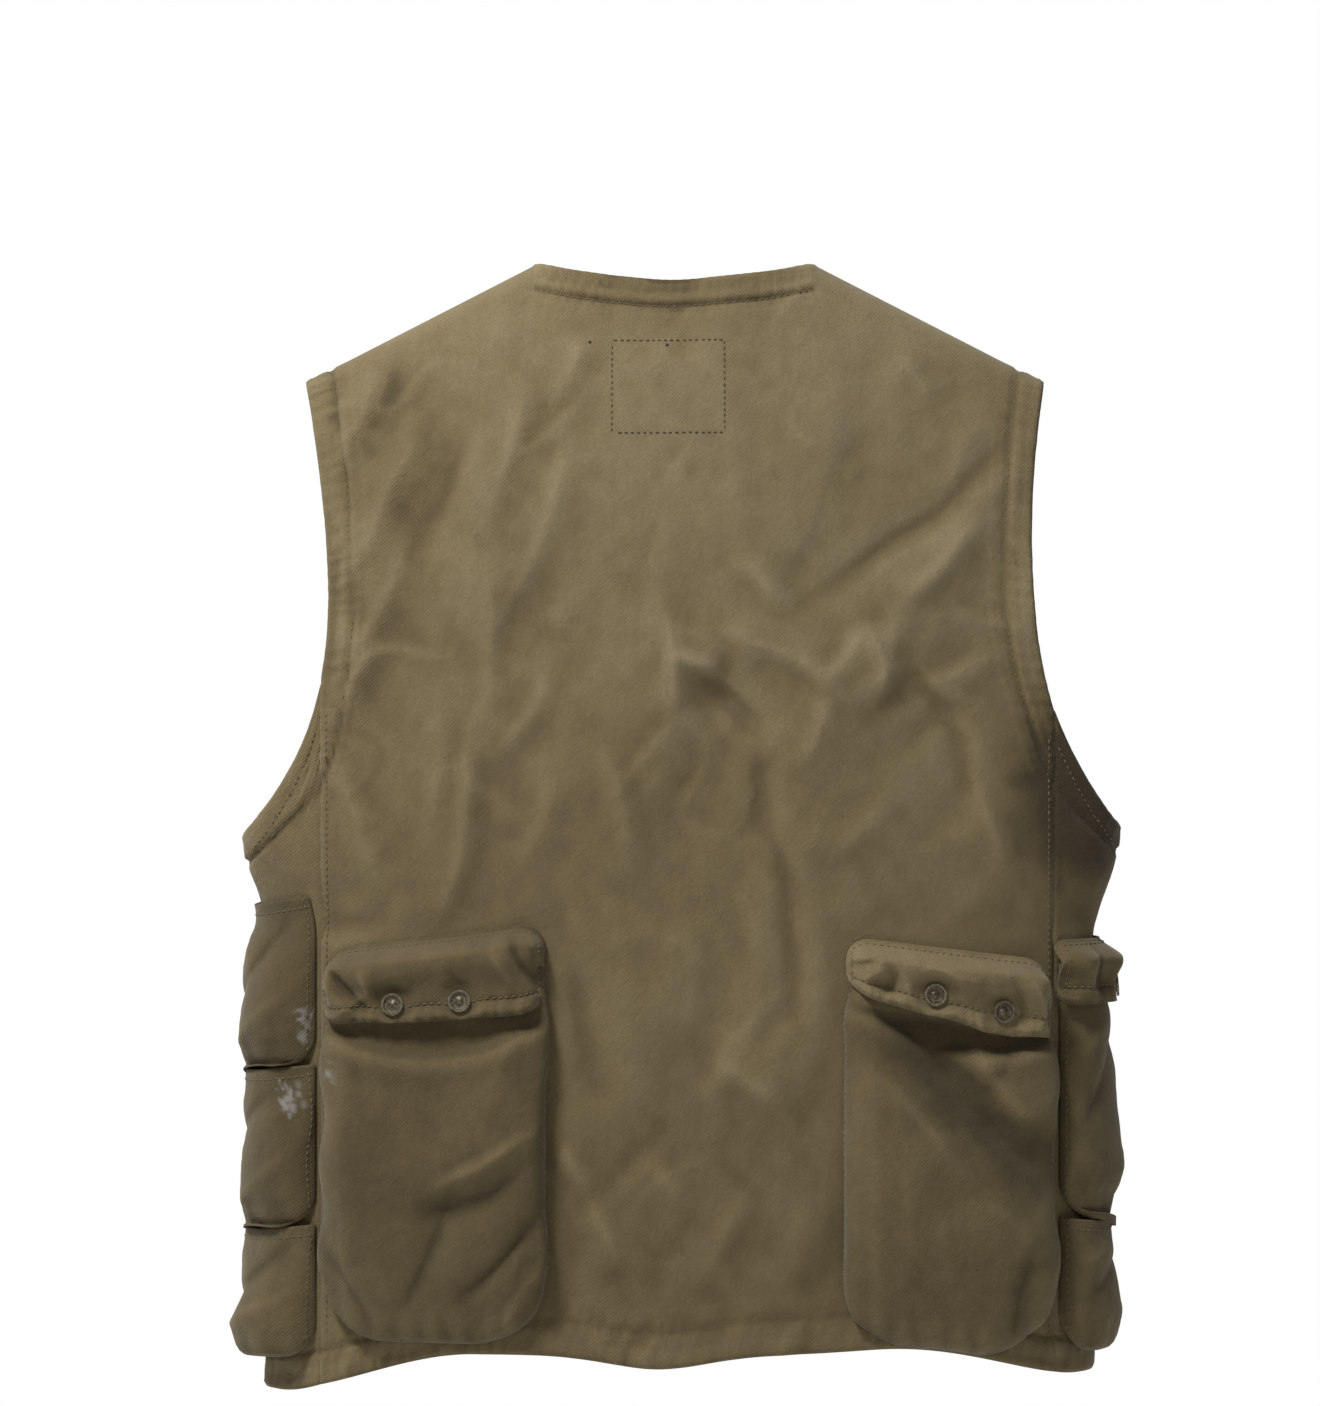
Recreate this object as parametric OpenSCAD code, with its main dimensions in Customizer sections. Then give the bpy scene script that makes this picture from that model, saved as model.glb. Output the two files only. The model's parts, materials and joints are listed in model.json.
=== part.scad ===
// Fishing vest, unzipped, as it hangs from its shoulders.
// Frame: the wearer faces -Y, the wearer's left is +X and +Z is up. The origin is the middle of the
// neck at the height of the neck points, which is where a hanger carries the vest.
// Cloth is laid on one closed skin. A point of the skin is named by its place (back, front, left or
// right), by a girth value (x on the back and front, an angle on the two sides) and by its height.

/* [Body] */
// Height from the neck points to the middle of the back hem
body_height = 546; // [530:1:560]
// Half width of the neck opening
neck_half = 70; // [64:1:74]
// Half width at the shoulder tips
shoulder_half = 187; // [184:1:190]
// Drop from the neck points to the shoulder tips
shoulder_drop = 60; // [52:1:68]
// Depth of the neckline at the middle of the back
back_neck_drop = 9; // [6:1:14]
// Depth of the neckline at the front edges
front_neck_drop = 84; // [70:1:100]
// Thickness of a cloth panel with its seams
cloth = 1.2; // [1:0.1:1.4]

/* [Torso section] */
// How square the torso section is
squareness = 2.6; // [2.3:0.1:3]
// Rounding of the cloth over the shoulder, back side
back_ridge = 10; // [8:1:12]
// Rounding of the cloth over the shoulder, front side
front_ridge = 14; // [12:1:16]
// How far the back stands out below its shoulder rounding
back_depth = 42; // [36:1:46]
// Height over which the back reaches its depth
back_reach = 75; // [65:1:90]
// Forward lean of the front over the height of the body
front_lean = 44; // [38:1:50]
// How much lower the hem hangs at the left side
hem_drop_left = 22; // [10:1:26]
// How much lower the hem hangs at the right side
hem_drop_right = 10; // [6:1:16]

/* [Seams] */
// Back side seam, distance from the middle, left
back_seam_left = 177; // [174:1:180]
// Back side seam, distance from the middle, right
back_seam_right = 190; // [187:1:192]
// Front side seam, distance from the middle
front_seam = 190; // [188:1:192]
// Width of the armhole and neck facings
facing_width = 15; // [12:1:17]
// Width of the turned hem
hem_width = 18; // [14:1:20]
// Gap left between two panels at a side seam
seam_gap = 0.8; // [0.6:0.1:1.2]
// Distance from the middle to the top of the fold that a front opens on
fold_top = 50; // [46:1:52]
// Distance from the middle to the bottom of that fold
fold_low = 172; // [168:1:174]
// Gap left along the fold
fold_gap = 1.6; // [1.4:0.1:2]

/* [Pockets] */
// How far a large pocket stands out from the body
pocket_bulge = 17; // [12:1:18]
// How far a side pocket stands out from the body
side_bulge = 10; // [8:1:11]
// Clearance between a pocket and the flap over it
flap_clear = 3.2; // [3:0.1:3.6]
// Height of bare cloth between a flap's seam and the pocket's mouth
mouth_drop = 12; // [11:1:13]

/* [Snaps] */
// Outer diameter of a snap ring
ring_d = 11; // [10:0.5:12]
// Diameter of the stud's post
post_d = 3.4; // [3:0.1:3.6]
// Radial clearance between post and socket
post_clear = 0.6; // [0.5:0.05:0.7]

/* [Zip] */
// Distance from the middle to each front edge
front_edge = 7; // [6.8:0.1:8]
// Length of the row of teeth
zip_length = 440; // [400:1:445]
// Pitch of the teeth
zip_pitch = 4; // [3:0.5:5]
// Thickness of the teeth
teeth_thick = 3; // [2.6:0.1:3.2]
// Length of the pull
pull_length = 24; // [18:1:26]

/* [Hidden] */

LEFT = 1;
RIGHT = -1;
khaki = [0.46, 0.41, 0.29];
khaki_dark = [0.38, 0.33, 0.22];
facing_colour = [0.42, 0.37, 0.25];
label_colour = [0.75, 0.72, 0.62];
steel = [0.62, 0.6, 0.55];
brass = [0.6, 0.5, 0.3];
tape_colour = [0.3, 0.27, 0.18];

facing_thick = 0.8;
facing_gap = 0.3;
edge_lift = 0.03;
underarm = [-290, -284];
armhole_waist = [-175, -155];
armhole_half = [174, 179];
girth_top = [217, 225];
girth_loss = [10, 13];
neck_rise = 20;
lean = front_lean / 520;

// ---------- the skin ----------

function of_side(pair, s) = s > 0 ? pair[0] : pair[1];
function clamp(t) = min(1, max(0, t));
function smooth(t) = let (c = clamp(t)) c * c * (3 - 2 * c);
function mix(a, b, t) = a + (b - a) * t;
function unit(v) = v / norm(v);
function side_of(x) = x < 0 ? RIGHT : LEFT;

// Half width of the torso section at a height.
function girth(s, z) = of_side(girth_top, s) - of_side(girth_loss, s) * smooth((-290 - z) / 50);

// Height of the ridge that the cloth hangs from: the shoulder line, closed over the neck.
function shoulder_z(x) = -(abs(x) - neck_half) * shoulder_drop / (shoulder_half - neck_half);
function ridge_z(x) = abs(x) > neck_half ? shoulder_z(x)
    : neck_rise * (1 - pow(x / neck_half, 2));
function over_ridge(d, r) = r * sqrt(1 - pow(1 - clamp(d / r), 2));
function section(q) = pow(1 - pow(min(1, abs(q)), squareness), 1 / squareness);
function back_y(d) = over_ridge(d, back_ridge) + back_depth * (1 - exp(-d / back_reach));
function front_y(d) = -over_ridge(d, front_ridge) - lean * d;

function flat_skin(x, z, face) =
    let (d = max(0, ridge_z(x) - z), w = section(x / girth(side_of(x), z)))
    [x, w * (face > 0 ? back_y(d) : front_y(d)), z];

function side_skin(s, phi, z) =
    let (x = girth(s, z) * pow(cos(phi), 2 / squareness),
         d = max(0, ridge_z(x) - z),
         w = pow(abs(sin(phi)), 2 / squareness))
    [s * x, w * (phi > 0 ? back_y(d) : front_y(d)), z];

function skin(place, a, z) =
    place == "back" ? flat_skin(a, z, 1) : place == "front" ? flat_skin(a, z, -1)
    : side_skin(place == "left" ? LEFT : RIGHT, a, z);

// +1 where a step in the girth value followed by a step up turns outwards.
function turn(place) = place == "back" ? -1 : place == "right" ? -1 : 1;

step = 0.01;
function skin_normal(place, a, z) = turn(place) * unit(cross(
    skin(place, a + step, z) - skin(place, a - step, z),
    skin(place, a, z + step) - skin(place, a, z - step)));
function at(place, a, z, off) = skin(place, a, z) + off * skin_normal(place, a, z);

// Angle on a side whose point has the given distance from the middle.
function angle_at(s, x, z) = acos(pow(clamp(x / girth(s, z)), squareness / 2));

// ---------- outlines ----------

// Distance of the armhole edge from the middle, and its inverse below the armhole's waist.
function armhole_x(s, z) =
    let (waist = of_side(armhole_waist, s), half = of_side(armhole_half, s))
    z > waist
        ? mix(half, shoulder_half, pow(clamp((z - waist) / (-shoulder_drop - waist)), 1.8))
        : mix(half, of_side(girth_top, s), pow(clamp((waist - z) / (waist - of_side(underarm, s))), 2.4));
function armhole_z(s, x) =
    let (waist = of_side(armhole_waist, s), half = of_side(armhole_half, s))
    waist - (waist - of_side(underarm, s))
        * pow(clamp((abs(x) - half) / (of_side(girth_top, s) - half)), 1 / 2.4);

function hem_z(x, face) =
    let (drop = x < 0 ? hem_drop_right : hem_drop_left)
    -body_height - (face > 0 ? drop * smooth((abs(x) - 100) / 110)
        : mix((hem_drop_left + hem_drop_right) / 2, drop, smooth((abs(x) - 20) / 150)));
function neck_z(x, face) =
    abs(x) >= neck_half ? shoulder_z(x)
    : face > 0 ? -back_neck_drop * (1 - pow(x / neck_half, 2))
    : -front_neck_drop * (1 - pow(abs(x) / neck_half, 1.7));

// Side edge of a flat panel: the armhole, then the side seam.
function panel_x(s, z, seam, gap) =
    z > of_side(armhole_waist, s) ? armhole_x(s, z) : min(armhole_x(s, z), seam - gap / 2);

// ---------- sheets ----------

// Closed sheet between two grids of points. Rows run down and columns run to the viewer's right,
// seen from outside.
module thick_sheet(outer, inner) {
    rows = len(outer);
    columns = len(outer[0]);
    count = rows * columns;
    points = concat([for (row = outer) each row], [for (row = inner) each row]);
    cells = [for (i = [0:rows - 2]) for (j = [0:columns - 2])
        let (a = i * columns + j) [a, a + 1, a + columns + 1, a + columns]];
    rim = concat(
        [for (j = [0:columns - 2]) [j, j + 1]],
        [for (i = [0:rows - 2]) [i * columns + columns - 1, (i + 1) * columns + columns - 1]],
        [for (j = [columns - 2:-1:0]) [count - columns + j + 1, count - columns + j]],
        [for (i = [rows - 2:-1:0]) [(i + 1) * columns, i * columns]]);
    polyhedron(points, concat(
        [for (c = cells) each [[c[0], c[1], c[2]], [c[0], c[2], c[3]]]],
        [for (c = cells) each [[c[2], c[1], c[0]] + count * [1, 1, 1],
            [c[3], c[2], c[0]] + count * [1, 1, 1]]],
        [for (e = rim) each [[e[1], e[0], e[0] + count], [e[1], e[0] + count, e[1] + count]]]),
        convexity = 8);
}

// Sheet from a grid of [girth value, height, offset of its middle] at one place of the skin.
module laid_sheet(place, grid, thick) {
    thick_sheet(
        [for (row = grid) [for (g = row) at(place, g[0], g[1], g[2] + thick / 2)]],
        [for (row = grid) [for (g = row) at(place, g[0], g[1], g[2] - thick / 2)]]);
}

inside = -(cloth / 2 + facing_gap + facing_thick / 2);

// ---------- panels ----------

panel_rows = 26;
function fall(i) = pow(i / panel_rows, 2.2);
function side_place(s) = s > 0 ? "left" : "right";
function back_seam(s) = s > 0 ? back_seam_left : back_seam_right;
function side_order(s, n) = s > 0 ? [0:n] : [n:-1:0];

// Height down a flat panel's side edge, at a share w of its length.
function edge_height(s, face, w) =
    mix(-shoulder_drop, hem_z(s * (face > 0 ? back_seam(s) : front_seam), face), w);

module back_panel() {
    columns = 26;
    color(khaki) laid_sheet("back", [for (i = [0:panel_rows]) [for (j = [0:columns])
        let (p = 1 - 2 * j / columns, s = side_of(p), w = fall(i),
             x = p * panel_x(s, edge_height(s, 1, w), back_seam(s), seam_gap),
             top = neck_z(x, 1) - edge_lift)
        [x, mix(top, hem_z(x, 1), w), 0]]], cloth);
}

// Front from its edge out to the fold, which is the part that swings open.
module front_panel(s) {
    columns = 12;
    color(khaki) laid_sheet("front", [for (i = [0:panel_rows]) [for (j = side_order(s, columns))
        let (w = fall(i),
             top = mix(front_edge, fold_top - fold_gap / 2, j / columns),
             low = mix(front_edge, fold_low - fold_gap / 2, j / columns))
        [s * mix(top, low, w), mix(neck_z(top, -1) - edge_lift, hem_z(s * low, -1), w), 0]]],
        cloth);
}

// Rest of a front, from the fold out to the armhole and the side seam. One of its columns starts at
// the neck point, where the neckline turns into the shoulder.
module front_side(s) {
    inner = fold_top + fold_gap / 2;
    tops = concat([inner, (inner + neck_half) / 2],
        [for (j = [0:9]) mix(neck_half, shoulder_half, j / 9)]);
    color(khaki) laid_sheet("front", [for (i = [0:panel_rows]) [for (j = side_order(s, 11))
        let (w = fall(i), p = (tops[j] - inner) / (shoulder_half - inner),
             edge = panel_x(s, edge_height(s, -1, w), front_seam, seam_gap),
             x = mix(mix(fold_top, fold_low, w) + fold_gap / 2, edge, p),
             low = mix(fold_low + fold_gap / 2, front_seam - seam_gap / 2, p))
        [s * x, mix(neck_z(tops[j], -1) - edge_lift, hem_z(s * low, -1), w), 0]]], cloth);
}

// Girth angle on a side panel, from the front seam (t = 0) to the back seam (t = 1).
function side_angle(s, t, z) = mix(
    -angle_at(s, front_seam + seam_gap / 2, z), angle_at(s, back_seam(s) + seam_gap / 2, z), t);
function side_x(s, phi, z) = girth(s, z) * pow(cos(phi), 2 / squareness);

side_columns = 16;
module side_panel(s) {
    rows = 12;
    color(khaki) laid_sheet(side_place(s), [for (i = [0:rows]) [for (j = side_order(s, side_columns))
        let (t = j / side_columns,
             x = side_x(s, side_angle(s, t, -240), -240),
             top = armhole_z(s, x),
             bottom = hem_z(s * x, t > 0.5 ? 1 : -1),
             z = mix(top, bottom, i / rows))
        [side_angle(s, t, z), z, 0]]], cloth);
}

// ---------- facings, hem and label ----------

module neck_facing_back() {
    columns = 18;
    reach = neck_half - 12;
    color(facing_colour) laid_sheet("back", [for (i = [0:2]) [for (j = [0:columns])
        let (x = mix(reach, -reach, j / columns))
        [x, neck_z(x, 1) - 1 - facing_width * i / 2, inside - 0.3]]], facing_thick);
}

// Facing under the neckline of a front, from its zip tape to the fold.
module neck_facing(s) {
    columns = 12;
    color(facing_colour) laid_sheet("front", [for (i = [0:2]) [for (j = side_order(s, columns))
        let (x = s * mix(front_edge + 13, fold_top - 3, j / columns))
        [x, neck_z(x, -1) - 1 - facing_width * i / 2, inside - 0.3]]], facing_thick);
}

// Strip along the armhole edge of a flat panel, from the shoulder down to the side seam.
module armhole_strip(s, face, seam) {
    rows = 16;
    bottom = armhole_z(s, seam - 4);
    along = [for (i = [0:rows]) mix(-shoulder_drop - 8, bottom, i / rows)];
    order = face * s > 0 ? [0:2] : [2:-1:0];
    laid_sheet(face > 0 ? "back" : "front", [for (z = along) [for (j = order)
        [s * (armhole_x(s, z) - 0.5 - facing_width * j / 2), z, inside]]], facing_thick);
}

// Armhole facing of the back panel and of the underarm.
module armhole_facing(s) {
    color(facing_colour) {
        armhole_strip(s, 1, back_seam(s));
        laid_sheet(side_place(s), [for (i = [0:2]) [for (j = side_order(s, side_columns - 2))
            let (t = (j + 1) / side_columns, phi = side_angle(s, t, -240),
                 z = armhole_z(s, side_x(s, phi, -240)) - 1 - facing_width * i / 2)
            [side_angle(s, t, z), z, inside - 0.9]]], facing_thick);
    }
}

module armhole_facing_front(s) {
    color(facing_colour) armhole_strip(s, -1, front_seam);
}

// Turned hem of the back and of the two sides.
module hem_facing_back() {
    columns = 18;
    color(facing_colour) {
        laid_sheet("back", [for (i = [0:1]) [for (j = [0:columns])
            let (x = mix(back_seam_left - 4, -back_seam_right + 4, j / columns))
            [x, hem_z(x, 1) + hem_width * (1 - i) + 0.5, inside]]], facing_thick);
        for (s = [LEFT, RIGHT])
            laid_sheet(side_place(s), [for (i = [0:1]) [for (j = side_order(s, 10))
                let (t = mix(0.05, 0.95, j / 10), phi = side_angle(s, t, -body_height),
                     x = s * side_x(s, phi, -body_height))
                [phi, hem_z(x, t > 0.5 ? 1 : -1) + hem_width * (1 - i) + 0.5, inside]]],
                facing_thick);
    }
}

module hem_facing(s) {
    columns = 10;
    color(facing_colour) laid_sheet("front", [for (i = [0:1]) [for (j = side_order(s, columns))
        let (x = s * mix(front_edge + 13, fold_low - 9, j / columns))
        [x, hem_z(x, -1) + hem_width * (1 - i) + 0.5, inside]]], facing_thick);
}

// Blank label sewn inside the back of the neck.
module inside_label() {
    label = [31.5, -24.5, -41, -88];
    color(label_colour) laid_sheet("back", [for (i = [0:4]) [for (j = [0:4])
        [mix(label[0], label[1], j / 4), mix(label[2], label[3], i / 4), inside]]],
        facing_thick);
}

// ---------- pockets and flaps ----------

// A pouch: place, girth value at its left and right edges seen from outside, heights of its
// mouth at those edges, height of its bottom, bulge, and share of the bulge left at the mouth.
back_left = ["back", 174, 64, -346, -331, -540, pocket_bulge, 0.45];
back_right = ["back", -84, -186, -338, -351, -543, pocket_bulge, 0.45];
front_left = ["front", 26, 108, -335, -335, -530, pocket_bulge, 0.6];
front_right = ["front", -108, -26, -335, -335, -530, pocket_bulge, 0.6];
left_upper = ["left", -24, 34, -320, -320, -402, side_bulge, 0.3];
left_middle = ["left", -24, 34, -404, -404, -482, side_bulge, 0.3];
left_lower = ["left", -24, 34, -484, -484, -548, side_bulge, 0.3];
right_upper = ["right", 28.5, -14, -341, -341, -476, side_bulge, 0.45];
right_lower = ["right", 28.5, -14, -479, -479, -543, side_bulge, 0.45];

function pouch_u(p, a) = clamp((a - p[1]) / (p[2] - p[1]));
function seam_of(p, u) = mix(p[3], p[4], u);
function pouch_off(p, a, z, drop) =
    let (u = pouch_u(p, a), top = seam_of(p, u) - drop, v = clamp((top - z) / (top - p[5])))
    cloth + 0.4 + p[6] * (1 - pow(abs(2 * u - 1), 4)) * (1 - pow(v, 5))
        * mix(p[7], 1, smooth(v / 0.55));

// Wall of a pouch, sewn down on three sides and open at its mouth.
module pouch(p, drop) {
    columns = 14;
    rows = 14;
    color(khaki_dark) laid_sheet(p[0], [for (i = [0:rows]) [for (j = [0:columns])
        let (u = j / columns, a = mix(p[1], p[2], u),
             z = mix(seam_of(p, u) - drop, p[5], 1 - pow(1 - i / rows, 1.5)))
        [a, z, pouch_off(p, a, z, drop)]]], cloth);
}

// A flap: its pouch, how far it is wider than the pouch at each edge, and its height at each edge.
flap_back_left = [back_left, 3, 36, 44];
flap_back_right = [back_right, 3, 28, 40];
flap_front_left = [front_left, 3, 40, 40];
flap_front_right = [front_right, 3, 40, 40];
flap_side_right = [right_upper, 0, 32, 32];

module flap(f) {
    p = f[0];
    columns = 14;
    rows = 10;
    widen = f[1] * sign(p[2] - p[1]);
    color(khaki) laid_sheet(p[0], [for (i = [0:rows]) [for (j = [0:columns])
        let (u = j / columns, a = mix(p[1] - widen, p[2] + widen, u),
             z = seam_of(p, u) - i / rows * mix(f[2], f[3], u),
             over = pouch_off(p, a, min(z, seam_of(p, u) - mouth_drop), mouth_drop)
                + cloth + flap_clear)
        [a, z, mix(cloth + 0.8, over, smooth((seam_of(p, u) - z) / (mouth_drop - 2)))]]], cloth);
}

// ---------- snaps ----------

// Places its children on a pouch's wall, with Z pointing straight out of the cloth.
module on_pouch(p, a, z) {
    function wall(da, dz) = at(p[0], a + da, z + dz, pouch_off(p, a + da, z + dz, mouth_drop));
    n = turn(p[0]) * unit(cross(wall(step, 0) - wall(-step, 0), wall(0, step) - wall(0, -step)));
    x = unit(cross([0, 0, 1], n));
    y = cross(n, x);
    o = wall(0, 0);
    multmatrix([[x[0], y[0], n[0], o[0]], [x[1], y[1], n[1], o[1]], [x[2], y[2], n[2], o[2]]])
        children();
}

ring_gap = 0.45;
stud_base = 0.6;
post_height = 2.2;
socket_height = 1.4;

module ring(d, thick) {
    rotate_extrude($fn = 48) translate([d / 2 - 1.1, 0]) square([1.1, thick]);
}

// Stud on the outside of the pocket and its ring on the inside.
module stud() {
    translate([0, 0, cloth / 2 + ring_gap]) {
        cylinder(d = 8, h = stud_base, $fn = 48);
        cylinder(d = post_d, h = post_height, $fn = 48);
    }
    translate([0, 0, -cloth / 2 - ring_gap - 0.8]) ring(ring_d - 1, 0.8);
}

// Ring on the outside of the flap and the socket under it.
module snap() {
    flap_mid = cloth + flap_clear;
    translate([0, 0, flap_mid + cloth / 2 + ring_gap]) ring(ring_d, 1.1);
    translate([0, 0, flap_mid - cloth / 2 - ring_gap - socket_height]) difference() {
        cylinder(d = 9, h = socket_height, $fn = 48);
        translate([0, 0, -1]) cylinder(d = post_d + 2 * post_clear, h = socket_height + 2, $fn = 48);
    }
}

back_left_snaps = [[137, -372], [105, -370]];
back_right_snaps = [[-126.5, -367], [-159, -376]];
front_left_snaps = [[51, -366], [83, -366]];
front_right_snaps = [[-51, -366], [-83, -366]];
side_right_snaps = [[2, -366]];

module studs(p, spots) {
    color(brass) for (spot = spots) on_pouch(p, spot[0], spot[1]) stud();
}

module snaps(p, spots) {
    color(steel) for (spot = spots) on_pouch(p, spot[0], spot[1]) snap();
}

// ---------- zip ----------

zip_top = -front_neck_drop - 6;
zip_tilt = atan(lean);
teeth_near = 2.2;
tape_near = 4.2;
tape_far = 17;
tape_y = cloth / 2 + facing_gap;
teeth_y = tape_y + facing_thick / 2 - teeth_thick / 2;

// Frame of the zip: Z runs up along the front edges and -Y points away from the body.
module zip_frame() {
    translate([0, front_y(neck_rise - zip_top), zip_top]) rotate([-zip_tilt, 0, 0]) children();
}

module zip_tape(s) {
    color(tape_colour) zip_frame() translate([s > 0 ? tape_near : -tape_far, tape_y, -zip_length - 4])
        cube([tape_far - tape_near, facing_thick, zip_length + 8]);
}

// Row of teeth as one comb: a straight core with a tooth at every pitch.
module zip_teeth(s) {
    core = tape_near - 0.2;
    teeth = floor(zip_length / zip_pitch) - 2;
    outline = concat(
        [[core, 0], [core, -zip_length]],
        [for (i = [teeth:-1:1]) each [[core - 0.9, -i * zip_pitch - zip_pitch / 2],
            [teeth_near, -i * zip_pitch - zip_pitch / 2],
            [teeth_near, -i * zip_pitch], [core - 0.9, -i * zip_pitch]]],
        [[core - 0.9, 0]]);
    color(brass) zip_frame() translate([0, teeth_y + teeth_thick, 0]) rotate([90, 0, 0])
        linear_extrude(teeth_thick) polygon([for (q = outline) [s * q[0], q[1]]]);
}

module zip_stop(s) {
    color(brass) zip_frame() translate([s > 0 ? teeth_near : -tape_near + 0.2, teeth_y, 0.3])
        cube([tape_near - 0.2 - teeth_near, teeth_thick, 3]);
}

// Pin at the bottom of the left row of teeth.
module zip_pin() {
    color(brass) zip_frame() translate([teeth_near, teeth_y + 0.4, -zip_length - 10])
        cube([tape_near - 0.2 - teeth_near, teeth_thick - 0.8, 9.7]);
}

// Box at the bottom of the right row of teeth, with a socket for the pin.
module zip_box() {
    box_h = 9;
    color(brass) zip_frame() translate([0, 0, -zip_length - 0.3 - box_h]) difference() {
        translate([-6.4, teeth_y - 0.8, 0]) cube([8, teeth_thick + 1.6, box_h]);
        translate([-1.4, teeth_y, 2]) cube([2.2, teeth_thick, box_h]);
        translate([-7, tape_y - 0.2, 3]) cube([3, facing_thick + 0.4, box_h]);
    }
}

slider_h = 13;
slider_plate = 1.2;
slider_clear = 0.4;
slider_front = teeth_y - slider_clear - slider_plate;
pivot_y = slider_front - 1.8;
pivot_z = -zip_length + slider_h - 4;

module zip_slider() {
    back = teeth_y + teeth_thick + slider_clear;
    color(steel) zip_frame() {
        translate([0, 0, -zip_length + 0.2]) {
            translate([-6.5, slider_front, 0]) cube([8, slider_plate, slider_h]);
            translate([-6.5, back, 0]) cube([8, slider_plate, slider_h]);
            translate([-1.5, slider_front, 0]) cube([3, back + slider_plate - slider_front, slider_h]);
        }
        difference() {
            translate([-3.5, slider_front - 3.4, pivot_z - 2]) cube([2, 3.5, 4]);
            translate([-4, pivot_y, pivot_z]) rotate([0, 90, 0]) cylinder(d = 2, h = 4, $fn = 32);
        }
    }
}

// Pull: a pin through the slider's lug, two cheeks and a flat tab.
module zip_pull() {
    color(steel) zip_frame() translate([-2.5, pivot_y, pivot_z]) {
        translate([-3, 0, 0]) rotate([0, 90, 0]) cylinder(d = 1.4, h = 6, $fn = 32);
        for (side = [-1, 1])
            translate([side * 2.4 - 0.8, -1.1, -6]) cube([1.6, 1.8, 6.9]);
        translate([-3.2, -1.1, -pull_length]) cube([6.4, 1.4, pull_length - 5]);
    }
}

// ---------- nodes ----------

back_panel();
side_panel(LEFT);  // side_panel_left
side_panel(RIGHT);  // side_panel_right
neck_facing_back();
armhole_facing(LEFT);  // armhole_facing_left
armhole_facing(RIGHT);  // armhole_facing_right
hem_facing_back();
inside_label();
pouch(back_left, mouth_drop);  // back_pocket_left
pouch(back_right, mouth_drop);  // back_pocket_right
studs(back_left, back_left_snaps);  // back_studs_left
studs(back_right, back_right_snaps);  // back_studs_right
pouch(left_upper, 0);  // side_pocket_left_upper
pouch(left_middle, 0);  // side_pocket_left_middle
pouch(left_lower, 0);  // side_pocket_left_lower
pouch(right_upper, mouth_drop);  // side_pocket_right_upper
pouch(right_lower, 0);  // side_pocket_right_lower
studs(right_upper, side_right_snaps);  // side_stud_right
front_side(LEFT);  // front_side_left
front_side(RIGHT);  // front_side_right
front_panel(LEFT);  // front_panel_left
front_panel(RIGHT);  // front_panel_right
neck_facing(LEFT);  // neck_facing_left
neck_facing(RIGHT);  // neck_facing_right
armhole_facing_front(LEFT);  // armhole_facing_front_left
armhole_facing_front(RIGHT);  // armhole_facing_front_right
hem_facing(LEFT);  // hem_facing_left
hem_facing(RIGHT);  // hem_facing_right
pouch(front_left, mouth_drop);  // front_pocket_left
pouch(front_right, mouth_drop);  // front_pocket_right
studs(front_left, front_left_snaps);  // front_studs_left
studs(front_right, front_right_snaps);  // front_studs_right
zip_tape(LEFT);  // zip_tape_left
zip_tape(RIGHT);  // zip_tape_right
zip_teeth(LEFT);  // zip_teeth_left
zip_teeth(RIGHT);  // zip_teeth_right
zip_stop(LEFT);  // zip_stop_left
zip_stop(RIGHT);  // zip_stop_right
zip_pin();
zip_box();
zip_slider();
zip_pull();
flap(flap_back_left);  // back_flap_left
flap(flap_back_right);  // back_flap_right
snaps(back_left, back_left_snaps);  // back_snaps_left
snaps(back_right, back_right_snaps);  // back_snaps_right
flap(flap_side_right);  // side_flap_right
snaps(right_upper, side_right_snaps);  // side_snap_right
flap(flap_front_left);  // front_flap_left
flap(flap_front_right);  // front_flap_right
snaps(front_left, front_left_snaps);  // front_snaps_left
snaps(front_right, front_right_snaps);  // front_snaps_right
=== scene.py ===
"""Looks of the fishing vest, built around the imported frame.

Lengths are in millimetres on the cloth and are turned into metres where a mesh is made. Cloth lies on
one closed skin, the same as the CAD's. A point of the skin is named by its place (back, front, left or
right), by a girth value (x on the back and front, an angle in degrees on the sides) and by its height.
"""

import json
import math
from collections import namedtuple

import bpy
import numpy as np
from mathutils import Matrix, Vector


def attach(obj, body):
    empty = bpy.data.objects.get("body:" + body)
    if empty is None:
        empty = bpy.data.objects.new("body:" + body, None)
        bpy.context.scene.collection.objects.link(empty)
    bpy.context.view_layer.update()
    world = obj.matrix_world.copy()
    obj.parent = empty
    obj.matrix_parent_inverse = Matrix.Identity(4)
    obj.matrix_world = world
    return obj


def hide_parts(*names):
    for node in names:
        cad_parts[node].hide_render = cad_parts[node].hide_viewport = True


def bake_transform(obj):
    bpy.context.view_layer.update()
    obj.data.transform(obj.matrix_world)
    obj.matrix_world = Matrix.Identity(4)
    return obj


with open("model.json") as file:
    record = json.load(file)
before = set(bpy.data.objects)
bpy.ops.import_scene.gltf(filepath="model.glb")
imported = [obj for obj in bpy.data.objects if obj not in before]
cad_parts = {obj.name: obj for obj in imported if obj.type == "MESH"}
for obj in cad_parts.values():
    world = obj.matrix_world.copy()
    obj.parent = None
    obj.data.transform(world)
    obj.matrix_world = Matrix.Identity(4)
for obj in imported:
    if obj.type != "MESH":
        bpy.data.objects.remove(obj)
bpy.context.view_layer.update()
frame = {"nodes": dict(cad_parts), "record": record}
MM = 0.001

# ---------- sizes shared with the CAD ----------

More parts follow.
